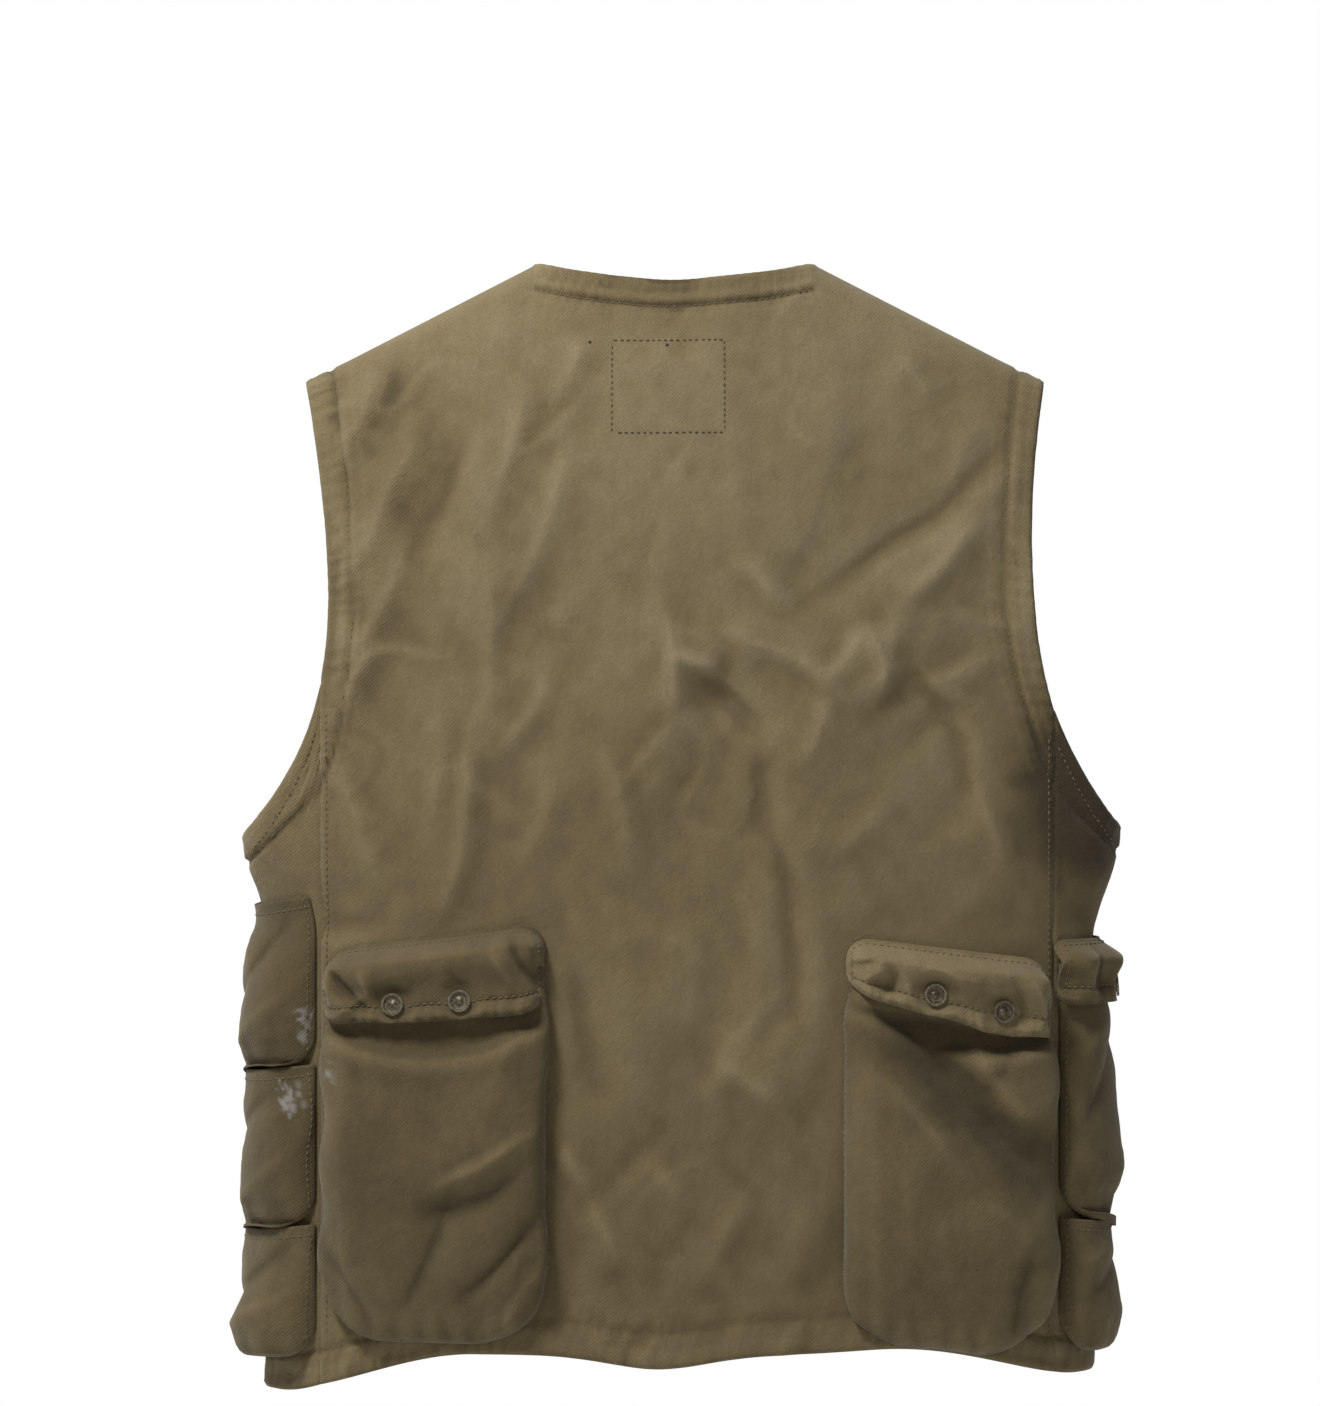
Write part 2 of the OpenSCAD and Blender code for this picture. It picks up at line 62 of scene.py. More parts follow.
LEFT, RIGHT = 1, -1
BODY_HEIGHT = 546.0
NECK_HALF, SHOULDER_HALF, SHOULDER_DROP = 70.0, 187.0, 60.0
BACK_NECK_DROP, FRONT_NECK_DROP, NECK_RISE = 9.0, 84.0, 20.0
SQUARENESS = 2.6
BACK_RIDGE, FRONT_RIDGE = 10.0, 14.0
BACK_DEPTH, BACK_REACH = 42.0, 75.0
LEAN = 44.0 / 520.0
HEM_DROP = {LEFT: 22.0, RIGHT: 10.0}
BACK_SEAM = {LEFT: 177.0, RIGHT: 190.0}
FRONT_SEAM = 190.0
FRONT_EDGE = 7.0
UNDERARM = {LEFT: -290.0, RIGHT: -284.0}
WAIST_Z = {LEFT: -175.0, RIGHT: -155.0}
WAIST_HALF = {LEFT: 174.0, RIGHT: 179.0}
GIRTH_TOP = {LEFT: 217.0, RIGHT: 225.0}
GIRTH_LOSS = {LEFT: 10.0, RIGHT: 13.0}
LOSS_TOP, LOSS_RUN = -290.0, 50.0
# Powers of the armhole's curve above and below its narrowest height.
ARM_UPPER, ARM_LOWER = 1.8, 2.4
CLOTH = 1.2
FACING = 15.0
HEM = 18.0
MOUTH_DROP = 12.0
FLAP_CLEAR = 3.2
FOLD_TOP, FOLD_LOW = 50.0, 172.0

# ---------- sizes for the looks only ----------

# Thickness of the cloth, the spacing of a panel's rows, and the columns over half of its width.
THICK = 0.9
GRID = 2.1
HALF_COLUMNS = 85
# Length round a side panel for one degree, and the height where its seams' angles are taken.
MM_PER_DEGREE = 1.3
SIDE_LEVEL = -240.0
# Distance of the topstitching from a faced edge and from the hem.
FACING_STITCH, HEM_STITCH = FACING - 1.5, HEM - 1.0
# Half step for slopes and normals of the skin.
STEP = 0.01


def smooth(t):
    c = np.clip(t, 0.0, 1.0)
    return c * c * (3.0 - 2.0 * c)


def mix(a, b, t):
    return a + (b - a) * t


def bump(d, width):
    return np.exp(-((d / width) ** 2))


def by_side(x, pair):
    return np.where(np.asarray(x) < 0, pair[RIGHT], pair[LEFT])


def name_of(s):
    return "left" if s == LEFT else "right"


def side_of(name):
    return LEFT if name == "left" else RIGHT


# ---------- the skin ----------


def girth(s, z):
    """Half width of the body on side s."""
    return GIRTH_TOP[s] - GIRTH_LOSS[s] * smooth((LOSS_TOP - z) / LOSS_RUN)


def shoulder_z(x):
    """Height of the shoulder line."""
    return -(np.abs(x) - NECK_HALF) * SHOULDER_DROP / (SHOULDER_HALF - NECK_HALF)


def ridge_z(x):
    """Height where the back and the front would meet: the shoulder line, and an arch over the neck."""
    return np.where(np.abs(x) > NECK_HALF, shoulder_z(x), NECK_RISE * (1.0 - (x / NECK_HALF) ** 2))


def over_ridge(d, r):
    """Depth at a distance d below a ridge of radius r."""
    return r * np.sqrt(1.0 - (1.0 - np.clip(d / r, 0.0, 1.0)) ** 2)


def section(q):
    """Share of the full depth at a share q of the half width."""
    return (1.0 - np.minimum(1.0, np.abs(q)) ** SQUARENESS) ** (1.0 / SQUARENESS)


def back_y(d):
    return over_ridge(d, BACK_RIDGE) + BACK_DEPTH * (1.0 - np.exp(-d / BACK_REACH))


def front_y(d):
    return -over_ridge(d, FRONT_RIDGE) - LEAN * d


def skin(place, a, z):
    """Points of the plain skin."""
    a, z = np.broadcast_arrays(np.asarray(a, float), np.asarray(z, float))
    if place in ("back", "front"):
        width = np.where(a < 0, girth(RIGHT, z), girth(LEFT, z))
        d = np.maximum(0.0, ridge_z(a) - z)
        y = section(a / width) * (back_y(d) if place == "back" else front_y(d))
        return np.stack([a, y, z], -1)
    s = side_of(place)
    phi = np.radians(a)
    x = girth(s, z) * np.cos(phi) ** (2.0 / SQUARENESS)
    d = np.maximum(0.0, ridge_z(x) - z)
    y = np.abs(np.sin(phi)) ** (2.0 / SQUARENESS) * np.where(phi > 0, back_y(d), front_y(d))
    return np.stack([s * x, y, z], -1)


# Sign that makes the cross product of across and up point out of each place.
TURN = {"back": -1.0, "right": -1.0, "front": 1.0, "left": 1.0}


def outward(place, a, z):
    """Unit normals of the skin."""
    across = skin(place, a + STEP, z) - skin(place, a - STEP, z)
    up = skin(place, a, z + STEP) - skin(place, a, z - STEP)
    n = TURN[place] * np.cross(across, up)
    return n / np.linalg.norm(n, axis=-1, keepdims=True)


def angle_at(s, x, z):
    """Angle round a side panel where the skin is x from the middle."""
    return np.degrees(np.arccos(np.clip(x / girth(s, z), 0.0, 1.0) ** (SQUARENESS / 2.0)))


def side_x(s, phi, z):
    """Distance of a side panel's skin from the middle at an angle."""
    return girth(s, z) * np.cos(np.radians(phi)) ** (2.0 / SQUARENESS)


def seam_angles(s, z, clear=0.0):
    """Angles of a side panel's front seam and back seam, or of lines that far inside them."""
    return -angle_at(s, FRONT_SEAM + clear, z), angle_at(s, BACK_SEAM[s] + clear, z)


# Width of each side panel, from its back seam to its front seam.
SIDE_ARC = {s: float(np.ptp(seam_angles(s, SIDE_LEVEL))) * MM_PER_DEGREE for s in (LEFT, RIGHT)}


def girth_run(place, a, z):
    """Distance round the body from the middle of the back, so that folds and weave cross the seams."""
    if place == "back":
        return a
    if place == "front":
        s = np.where(a < 0, -1.0, 1.0)
        return s * (by_side(a, BACK_SEAM) + by_side(a, SIDE_ARC) + FRONT_SEAM - np.abs(a))
    s = side_of(place)
    front, back = seam_angles(s, z)
    return s * (BACK_SEAM[s] + (back - a) / (back - front) * SIDE_ARC[s])


# ---------- outlines ----------


def armhole_x(s, z):
    """Distance of the armhole's edge from the middle at a height."""
    up = mix(WAIST_HALF[s], SHOULDER_HALF,
             np.clip((z - WAIST_Z[s]) / (-SHOULDER_DROP - WAIST_Z[s]), 0.0, 1.0) ** ARM_UPPER)
    down = mix(WAIST_HALF[s], GIRTH_TOP[s],
               np.clip((WAIST_Z[s] - z) / (WAIST_Z[s] - UNDERARM[s]), 0.0, 1.0) ** ARM_LOWER)
    return np.where(z > WAIST_Z[s], up, down)


def armhole_z(s, x):
    """Height of the armhole's lower part."""
    reach = np.clip((np.abs(x) - WAIST_HALF[s]) / (GIRTH_TOP[s] - WAIST_HALF[s]), 0.0, 1.0)
    return WAIST_Z[s] - (WAIST_Z[s] - UNDERARM[s]) * reach ** (1.0 / ARM_LOWER)


def hem_z(x, face):
    """Height of the hem. A face of 1 is the back and -1 the front."""
    drop = by_side(x, HEM_DROP)
    mean = (HEM_DROP[LEFT] + HEM_DROP[RIGHT]) / 2.0
    back = drop * smooth((np.abs(x) - 100.0) / 110.0)
    front = mix(mean, drop, smooth((np.abs(x) - 20.0) / 150.0))
    return -BODY_HEIGHT - (back if face > 0 else front)


def neck_z(x, face):
    inner = (-BACK_NECK_DROP * (1.0 - (x / NECK_HALF) ** 2) if face > 0
             else -FRONT_NECK_DROP * (1.0 - np.minimum(1.0, np.abs(x) / NECK_HALF) ** 1.7))
    return np.where(np.abs(x) >= NECK_HALF, shoulder_z(x), inner)


# ---------- pockets ----------

# A pouch: its place, girth values of its edges from the left seen from outside, heights of its mouth
# there, height of its bottom, its bulge, and the share of the bulge left at the mouth.
Pouch = namedtuple("Pouch", "place a0 a1 top0 top1 low bulge mouth")
POUCHES = {
    "back_pocket_left": Pouch("back", 174, 64, -346, -331, -540, 17, 0.45),
    "back_pocket_right": Pouch("back", -84, -186, -338, -351, -543, 17, 0.45),
    "front_pocket_left": Pouch("front", 26, 108, -335, -335, -530, 17, 0.6),
    "front_pocket_right": Pouch("front", -108, -26, -335, -335, -530, 17, 0.6),
    "side_pocket_left_upper": Pouch("left", -24, 34, -320, -320, -402, 10, 0.3),
    "side_pocket_left_middle": Pouch("left", -24, 34, -404, -404, -482, 10, 0.3),
    "side_pocket_left_lower": Pouch("left", -24, 34, -484, -484, -548, 10, 0.3),
    "side_pocket_right_upper": Pouch("right", 28.5, -14, -341, -341, -476, 10, 0.45),
    "side_pocket_right_lower": Pouch("right", 28.5, -14, -479, -479, -543, 10, 0.45),
}
# A flap: its pouch, how far it is wider at each edge, and its height at each edge.
Flap = namedtuple("Flap", "pouch wider tall0 tall1")
FLAPS = {
    "back_flap_left": Flap("back_pocket_left", 3, 36, 44),
    "back_flap_right": Flap("back_pocket_right", 3, 28, 40),
    "front_flap_left": Flap("front_pocket_left", 3, 40, 40),
    "front_flap_right": Flap("front_pocket_right", 3, 40, 40),
    "side_flap_right": Flap("side_pocket_right_upper", 0, 32, 32),
}
FLAP_OVER = {flap.pouch: flap for flap in FLAPS.values()}
# Girth value and height of each snap.
SNAPS = {
    "back_pocket_left": [(137, -372), (105, -370)],
    "back_pocket_right": [(-126.5, -367), (-159, -376)],
    "front_pocket_left": [(51, -366), (83, -366)],
    "front_pocket_right": [(-51, -366), (-83, -366)],
    "side_pocket_right_upper": [(2, -366)],
}
# A side pocket whose bottom hangs over the mouth of the next one down.
HANGS_OVER = {"side_pocket_left_upper": "side_pocket_left_middle",
              "side_pocket_left_middle": "side_pocket_left_lower",
              "side_pocket_right_upper": "side_pocket_right_lower"}
# Offset of a pouch's sewn edges, and the share of its height by which its bulge is full.
POUCH_BASE = CLOTH + 0.4
FULL_BY = 0.55


def mm_across(place):
    """Millimetres for one step of girth value."""
    return 1.0 if place in ("back", "front") else MM_PER_DEGREE


def mouth_drop(name):
    """How far a pouch's cloth starts below its seam: only where a flap is sewn on."""
    return MOUTH_DROP if name in SNAPS else 0.0


def pouch_u(p, a):
    return np.clip((a - p.a0) / (p.a1 - p.a0), 0.0, 1.0)


def seam_of(p, u):
    return mix(p.top0, p.top1, u)


def pouch_off(p, a, z, drop):
    """Offset of the CAD's pouch wall."""
    u = pouch_u(p, a)
    top = seam_of(p, u) - drop
    v = np.clip((top - z) / (top - p.low), 0.0, 1.0)
    return (POUCH_BASE + p.bulge * (1.0 - np.abs(2.0 * u - 1.0) ** 4) * (1.0 - v ** 5)
            * mix(p.mouth, 1.0, smooth(v / FULL_BY)))


def pouch_shape(name, u, v):
    """Offset of a pouch's cloth before its folds; its walls are steeper than the CAD's."""
    p = POUCHES[name]
    side = name.startswith("side")
    power = 4 if side else 9
    mouth = max(p.mouth, 0.8) if name in HANGS_OVER.values() else p.mouth
    share = mix(mouth, 1.0, smooth(v / FULL_BY))
    rise = (1.0 - np.abs(2.0 * u - 1.0) ** power) * (1.0 - v ** (14 if side else 10))
    flares = 5.0 if name == "side_pocket_left_lower" else 0.0
    flare = flares * smooth((v - 0.3) / 0.6) * smooth((u - 0.1) / 0.5)
    return POUCH_BASE + (p.bulge + flare) * rise * share


def under_pocket(place, a, z):
    """1 where a pocket holds the cloth flat, falling to 0 a little way outside it."""
    held = np.zeros(np.shape(a))
    for p in POUCHES.values():
        if p.place != place:
            continue
        side = np.maximum(min(p.a0, p.a1) - a, a - max(p.a0, p.a1)) * mm_across(place)
        rise = np.maximum(z - seam_of(p, pouch_u(p, a)), p.low - z)
        held = np.maximum(held, smooth(1.0 - np.maximum(side, rise) / 14.0))
    return held


# ---------- noise ----------


CELLS = 256
LATTICES = {}


def noise(x, y, seed):
    """Smooth noise from -1 to 1 with features about one unit across."""
    if seed not in LATTICES:
        LATTICES[seed] = np.random.RandomState(seed).uniform(-1.0, 1.0, (CELLS, CELLS))
    grid = LATTICES[seed]
    x0, y0 = np.floor(x).astype(int), np.floor(y).astype(int)
    fx, fy = x - x0, y - y0
    fx, fy = (f * f * f * (f * (f * 6 - 15) + 10) for f in (fx, fy))
    i0, i1, j0, j1 = x0 % CELLS, (x0 + 1) % CELLS, y0 % CELLS, (y0 + 1) % CELLS
    top = mix(grid[i0, j0], grid[i1, j0], fx)
    low = mix(grid[i0, j1], grid[i1, j1], fx)
    return mix(top, low, fy)


# ---------- folds ----------

# A fold runs from one point to another: x and height of each, width, how far it stands out (or goes
# in, if negative), and how steep its right-hand side is, where 1 is even.
BACK_FOLDS = [
    (150, -40, 172, -108, 11, 2.6, 2.2),
    (128, -78, 168, -166, 15, 3.4, 2.2),
    (106, -92, 140, -158, 12, -2.2, 1.0),
    (134, -134, 160, -206, 14, 3.2, 2.2),
    (146, -186, 174, -236, 13, 3.0, 2.0),
    (76, -62, 92, -132, 11, 2.4, 2.4),
    (54, -84, 90, -190, 12, 2.6, 2.8),
    (60, -196, 92, -250, 14, 2.2, 1.8),
    (90, -150, 100, -236, 9, 1.8, 2.6),
    (100, -236, 122, -340, 10, 2.2, 2.4),
    (118, -210, 128, -300, 12, 1.6, 2.0),
    (38, -240, 22, -310, 8, 1.5, 2.4),
    (62, -256, 82, -312, 9, 1.3, 2.0),
    (5, -172, 2, -232, 7, 2.2, 2.8),
    (4, -198, -24, -206, 6, 2.4, 0.5),
    (-14, -208, -40, -244, 9, -3.0, 1.6),
    (-40, -244, -44, -290, 6, -1.8, 1.8),
    (-42, -276, -64, -390, 6, -1.8, 2.2),
    (-26, -188, -80, -212, 10, 2.2, 0.5),
    (-30, -152, -56, -178, 7, 1.2, 0.6),
    (-168, -86, -64, -176, 7, -2.0, 1.0),
    (-152, -128, -112, -178, 9, 2.2, 2.4),
    (-112, -178, -100, -224, 8, 1.8, 2.2),
    (-98, -184, -72, -212, 7, 1.8, 0.6),
    (-98, -184, -108, -218, 7, 1.8, 2.4),
    (-118, -204, -138, -234, 9, -2.2, 1.4),
    (-134, -226, -152, -276, 8, -2.4, 2.0),
    (-142, -240, -164, -328, 10, 2.0, 1.8),
    (-78, -216, -62, -256, 8, 1.5, 1.6),
    (-104, -270, -74, -300, 9, 1.2, 1.6),
    (-158, -196, -118, -214, 9, 1.4, 0.7),
    (-20, -400, -52, -424, 11, 1.8, 0.7),
    (18, -446, -6, -470, 12, 1.6, 1.6),
    (-32, -464, -14, -506, 12, 1.8, 1.8),
    (42, -462, 24, -500, 10, 1.4, 2.0),
    (52, -350, 44, -424, 11, -2.0, 1.2),
    (58, -442, 40, -464, 8, 1.6, 1.0),
    (-8, -330, -2, -392, 14, 1.3, 1.4),
    (-70, -470, -44, -520, 12, 1.5, 1.6),
    (172, -250, 146, -318, 10, 1.6, 1.4),
    (-16, -40, -34, -160, 16, 1.2, 1.2),
    (-76, -50, -66, -150, 14, 1.4, 1.8),
    (46, -36, 60, -74, 7, 1.4, 1.6),
    (-110, -44, -132, -70, 9, 1.2, 0.8),
]
FRONT_FOLDS = [
    (150, -60, 100, -200, 15, 2.6, 1.6),
    (168, -120, 120, -290, 15, 2.4, 1.8),
    (80, -60, 60, -250, 14, 1.8, 1.6),
    (40, -120, 70, -320, 11, 1.6, 2.0),
    (-150, -70, -90, -230, 15, 2.4, 1.6),
    (-170, -150, -110, -300, 14, 2.2, 1.4),
    (-84, -50, -50, -240, 13, 2.0, 1.8),
    (-36, -150, -60, -330, 11, 1.6, 2.0),
]


def fold_field(x, z, folds, wander=3.2):
    """Height of a list of folds. Each wanders a little, has one steep and one broad side, and spreads
    out at its ends."""
    total = np.zeros(np.shape(x))
    x = x + wander * noise(x / 30.0, z / 38.0, 17)
    z = z + wander * noise(x / 34.0, z / 30.0, 18)
    for x0, z0, x1, z1, width, height, steep in folds:
        length = math.hypot(x1 - x0, z1 - z0)
        ux, uz = (x1 - x0) / length, (z1 - z0) / length
        along = ((x - x0) * ux + (z - z0) * uz) / length
        way = 1 if (x0 * 7 + z0) % 2 > 1 else -1
        bend = 0.05 * length * np.sin(math.pi * np.clip(along, 0, 1)) * way
        # Positive off is on the fold's right-hand side.
        off = (x - x0) * uz - (z - z0) * ux + bend
        ends = smooth(along / 0.5 + 0.3) * smooth((1.0 - along) / 0.5 + 0.3)
        broad = steep if steep >= 1 else 1.0 / steep
        near, far = width / math.sqrt(broad), width * broad ** 0.7
        side = np.where((off > 0) == (steep >= 1), near, far) * (1.6 - 0.6 * ends)
        total = total + height * np.exp(-np.abs(off / side) ** 1.25) * ends
    return total


def slack(place, a, z):
    """How freely the cloth may fold: none at the shoulders and the zip."""
    if place in ("left", "right"):
        return np.ones(np.shape(z))
    free = smooth((ridge_z(a) - z) / 30.0)
    if place == "front":
        free = free * smooth((np.abs(a) - 17.0) / 22.0)
    return free


def relief(place, a, z):
    """How far the cloth stands out from the plain skin."""
    run = girth_run(place, a, z)
    warp = 14.0 * noise(run / 60.0, z / 60.0, 3)
    long_folds = noise((run + 0.6 * warp + 0.3 * z) / 30.0, z / 130.0, 11)
    crush = 1.0 - 2.0 * np.abs(noise((run + 0.5 * z + warp) / 40.0, (z - 0.3 * run) / 52.0, 12))
    soft = noise(run / 70.0, z / 90.0, 5)
    broken = np.abs(noise((run + warp) / 24.0, (z + 0.7 * run) / 40.0, 16))
    total = 1.1 * soft + 1.7 * long_folds
    total = total + 1.1 * np.maximum(crush, 0.0) ** 4 * noise(run / 50.0, z / 50.0, 14)
    total = total - 0.4 * broken + 0.22 * noise(run / 8.0, z / 9.0, 15) + 0.25
    if place == "back":
        seam_fade = smooth((by_side(a, BACK_SEAM) - np.abs(a)) / 14.0)
        total = total + 1.7 * fold_field(a, z, BACK_FOLDS) * seam_fade
    if place == "front":
        total = total + fold_field(a, z, FRONT_FOLDS) * smooth((FRONT_SEAM - np.abs(a)) / 14.0)
    return (total - 0.6) * slack(place, a, z) * (1.0 - under_pocket(place, a, z))


def hem_sag(x, z, face):
    """The hem hangs in slow waves."""
    wave = -7.0 * bump(x - 8.0, 34.0) + 3.0 * bump(x + 122.0, 45.0) - 3.0 * bump(x + 200.0, 30.0)
    if face < 0:
        wave = mix(7.0 + 1.5 * np.sin(x / 24.0), wave, smooth((np.abs(x) - 110.0) / 75.0))
    return wave * smooth((-z - 380.0) / 160.0)


def make_edge(line):
    """Edge line on the cloth laid flat: its points and the run along it."""
    steps = np.linalg.norm(np.diff(line, axis=0), axis=1)
    return line, np.concatenate([[0.0], np.cumsum(steps)])


def armhole_edge(s):
    z = np.linspace(-SHOULDER_DROP, float(armhole_z(s, BACK_SEAM[s])), 110)
    back = np.stack([s * armhole_x(s, z), z], -1)
    t = np.linspace(0.0, 1.0, 90)
    z = armhole_z(s, side_x(s, mix(*seam_angles(s, SIDE_LEVEL)[::-1], t), SIDE_LEVEL))
    under = np.stack([girth_run(name_of(s), mix(*seam_angles(s, z)[::-1], t), z), z], -1)
    z = np.linspace(float(armhole_z(s, FRONT_SEAM)), -SHOULDER_DROP, 110)
    front = np.stack([girth_run("front", s * armhole_x(s, z), z), z], -1)
    return make_edge(np.concatenate([back, under, front]))


def neck_edge(face):
    x = np.linspace(NECK_HALF, -NECK_HALF, 160)
    place = "back" if face > 0 else "front"
    return make_edge(np.stack([girth_run(place, x, x), neck_z(x, face)], -1))


def nearest(edge, run, z):
    """Distance to an edge line, and how far along it the nearest point is."""
    line, along = edge
    gap, place = [], []
    # One row of the grid at a time keeps the arrays small.
    for row, heights in zip(np.atleast_2d(run), np.atleast_2d(z)):
        d = np.hypot(row[:, None] - line[:, 0], heights[:, None] - line[:, 1])
        gap.append(d.min(1))
        place.append(along[d.argmin(1)])
    return np.reshape(gap, np.shape(run)), np.reshape(place, np.shape(run))


def band(gap, along, wide, rope, pitch, seed):
    """A turned and stitched band: thicker cloth, roped puckers and the groove of its stitching."""
    jitter = 1.6 * noise(along / 11.0, gap / 50.0, seed) + 0.5 * noise(along / 4.0, gap / 30.0, seed + 1)
    ropes = np.sin(2.0 * math.pi * along / pitch + 2.2 * jitter + gap * 0.22)
    ropes = ropes * (0.35 + 0.65 * smooth(0.5 + noise(along / 25.0, 0 * along, seed + 2)))
    inside = smooth((wide - gap) / 2.5) * smooth((gap + 0.5) / 2.5)
    total = 0.6 * inside + rope * ropes * inside
    total = total - 1.5 * bump(gap - wide, 1.3) + 0.7 * rope * ropes * bump(gap - wide - 3.5, 4.0)
    return total + 0.35 * bump(gap - 1.5, 1.6)


EDGES = {LEFT: armhole_edge(LEFT), RIGHT: armhole_edge(RIGHT),
         "back": neck_edge(1), "front": neck_edge(-1)}
# Lowest heights that the armholes' bands and the neck's band reach.
ARM_BAND_LOW, NECK_BAND_LOW = -330.0, -120.0


def band_relief(place, a, z):
    """Relief of the finished edges: armholes, neck and hem."""
    flat = place in ("back", "front")
    run = girth_run(place, a, z)
    total = np.zeros(np.shape(run))
    for s in (LEFT, RIGHT) if flat else (side_of(place),):
        gap, along = nearest(EDGES[s], run, z)
        mine = (z > ARM_BAND_LOW) & ((s * a > 0) | (not flat))
        total = total + np.where(mine, band(gap, along, FACING_STITCH, 0.42, 7.4, 21), 0.0)
    if flat:
        gap, along = nearest(EDGES[place], run, z)
        mine = (np.abs(a) < NECK_HALF + 1.0) & (z > NECK_BAND_LOW)
        total = total + np.where(mine, band(gap, along, FACING_STITCH, 0.34, 5.6, 27), 0.0)
    x = a if flat else side_of(place) * side_x(LEFT, a, z)
    hem = z - hem_z(x, -1 if place == "front" else 1)
    return total + band(hem, run, HEM_STITCH, 0.45, 8.6, 33)


def on_cloth(place, a, z, lifts=(0.0,)):
    """Points of the finished cloth at each lift, and the way out of it."""
    a, z = np.broadcast_arrays(np.asarray(a, float), np.asarray(z, float))
    height = relief(place, a, z) + band_relief(place, a, z)
    points, n = skin(place, a, z), outward(place, a, z)
    points[..., 2] += hem_sag(points[..., 0], z, -1 if place == "front" else 1)
    return [points + n * (height + lift)[..., None] for lift in lifts], n, height


# ---------- meshes ----------


def mesh_object(name, points, faces, tone=None, weave=None):
    """Mesh of four-sided faces from points in millimetres; cloth also has its tone and weave."""
    mesh = bpy.data.meshes.new(name)
    points = np.asarray(points, float).reshape(-1, 3) * MM
    faces = np.asarray(faces, np.int32)
    count = len(faces)
    mesh.vertices.add(len(points))
    mesh.vertices.foreach_set("co", points.astype(np.float32).ravel())
    mesh.loops.add(count * 4)
    mesh.loops.foreach_set("vertex_index", faces.ravel())
    mesh.polygons.add(count)
    mesh.polygons.foreach_set("loop_start", np.arange(0, count * 4, 4, dtype=np.int32))
    mesh.polygons.foreach_set("use_smooth", np.ones(count, bool))
    mesh.update(calc_edges=True)
    if tone is not None:
        tone = np.ravel(tone) + shade_and_patch_tone(points / MM)
        layers = (("tone", "FLOAT", "value", tone), ("paint", "FLOAT", "value", paint_on(points / MM)),
                  ("weave", "FLOAT_VECTOR", "vector", np.asarray(weave, np.float32) * MM))
        for layer, kind, key, values in layers:
            data = mesh.attributes.new(layer, kind, "POINT").data
            data.foreach_set(key, values.astype(np.float32).ravel())
    mesh.validate()
    obj = bpy.data.objects.new(name, mesh)
    bpy.context.scene.collection.objects.link(obj)
    return obj


def shell(name, outer, inner, tone, run, z):
    """Closed sheet from two grids of points. Rows run down and columns run to the viewer's right. The
    weave follows run across and z down."""
    rows, columns = outer.shape[:2]
    index = np.arange(rows * columns).reshape(rows, columns)
    quads = np.stack([index[:-1, :-1], index[1:, :-1], index[1:, 1:], index[:-1, 1:]], -1).reshape(-1, 4)
    ring = np.concatenate([index[0, :], index[1:, -1], index[-1, -2::-1], index[-2::-1, 0]])
    count = rows * columns
    rim = np.stack([ring[:-1], ring[1:], ring[1:] + count, ring[:-1] + count], -1)
    faces = np.concatenate([quads, quads[:, ::-1] + count, rim])
    points = np.concatenate([outer.reshape(-1, 3), inner.reshape(-1, 3)])
    run, z = (np.broadcast_to(k, outer.shape[:2]) for k in (run, z))
    weave = np.tile(np.stack([run, z, 0 * z], -1).reshape(-1, 3), (2, 1))
    return mesh_object(name, points, faces, np.concatenate([tone.ravel(), tone.ravel() * 0.9]), weave)


# Darker or paler patches: x, height, radius and how much the tone shifts; the first two are painted shade
# under the right armhole. Paint spots: x, height, radius.
SHADE_AND_TONE_PATCHES = [(-214, -272, 40, -0.75), (-190, -250, 22, -0.2), (206, -300, 30, -0.12), (60, -150, 60, 0.04),
          (-120, -90, 50, 0.02), (150, -80, 46, -0.2), (120, -470, 60, -0.08), (-30, -380, 50, 0.05),
          (0, -14, 20, -0.22), (36, -10, 20, -0.22), (-36, -10, 20, -0.22)]
PAINT = [(185, -380, 5), (192.5, -421, 6), (171, -407, 3), (187, -388, 2.5), (196, -415, 3)]


def shade_and_patch_tone(points):
    """Tone patches, painted shade under the right armhole among them, go right round the sides and fade out
    towards the front.
    """
    total = 0.0
    for x, z, radius, amount in SHADE_AND_TONE_PATCHES:
        total = total + amount * bump(np.hypot(points[:, 0] - x, points[:, 2] - z), radius)
    return total * smooth((points[:, 1] + 35.0) / 45.0)


def paint_on(points):
    """Old paint spots on the back and left pockets, broken up by the weave."""
    total = np.zeros(len(points))
    ragged = 5.0 * noise(points[:, 0] / 1.8, points[:, 2] / 2.2, 91)
    for x, z, radius in PAINT:
        d = np.hypot(points[:, 0] - x, (points[:, 2] - z) * 0.8)
        total = np.maximum(total, smooth((radius - (d + ragged)) / 5.0))
    return np.where(points[:, 1] > 0.0, total, 0.0)


def crest_wear_and_valley_shade(height):
    """Lighter where the cloth is rubbed on a fold's crest; darker in its valleys and in the grooves of
    stitched bands, as painted shade.
    """
    around = sum(np.roll(height, step, axis) for axis in (0, 1) for step in (4, -4)) / 4.0
    rise = height - around
    return np.clip(0.5 + np.where(rise > 0.0, 0.16, 0.3) * rise, 0.3, 0.8)


def sheet_area(grid):
    """Area of a grid of points, in square millimetres."""
    across = grid[:-1, 1:] - grid[:-1, :-1]
    down = grid[1:, :-1] - grid[:-1, :-1]
    return float(np.linalg.norm(np.cross(across, down), axis=-1).sum())


def cloth_sheet(name, place, a, z, lift=0.0, thick=THICK, tone_shift=0.0):
    """Sheet of cloth on the skin from grids of girth values and heights."""
    (outer, inner), _, h = on_cloth(place, a, z, (lift + thick / 2, lift - thick / 2))
    obj = shell(name, outer, inner, crest_wear_and_valley_shade(h) + tone_shift, girth_run(place, a, z), z)
    note_cut(obj, skin(place, a, z))
    return obj


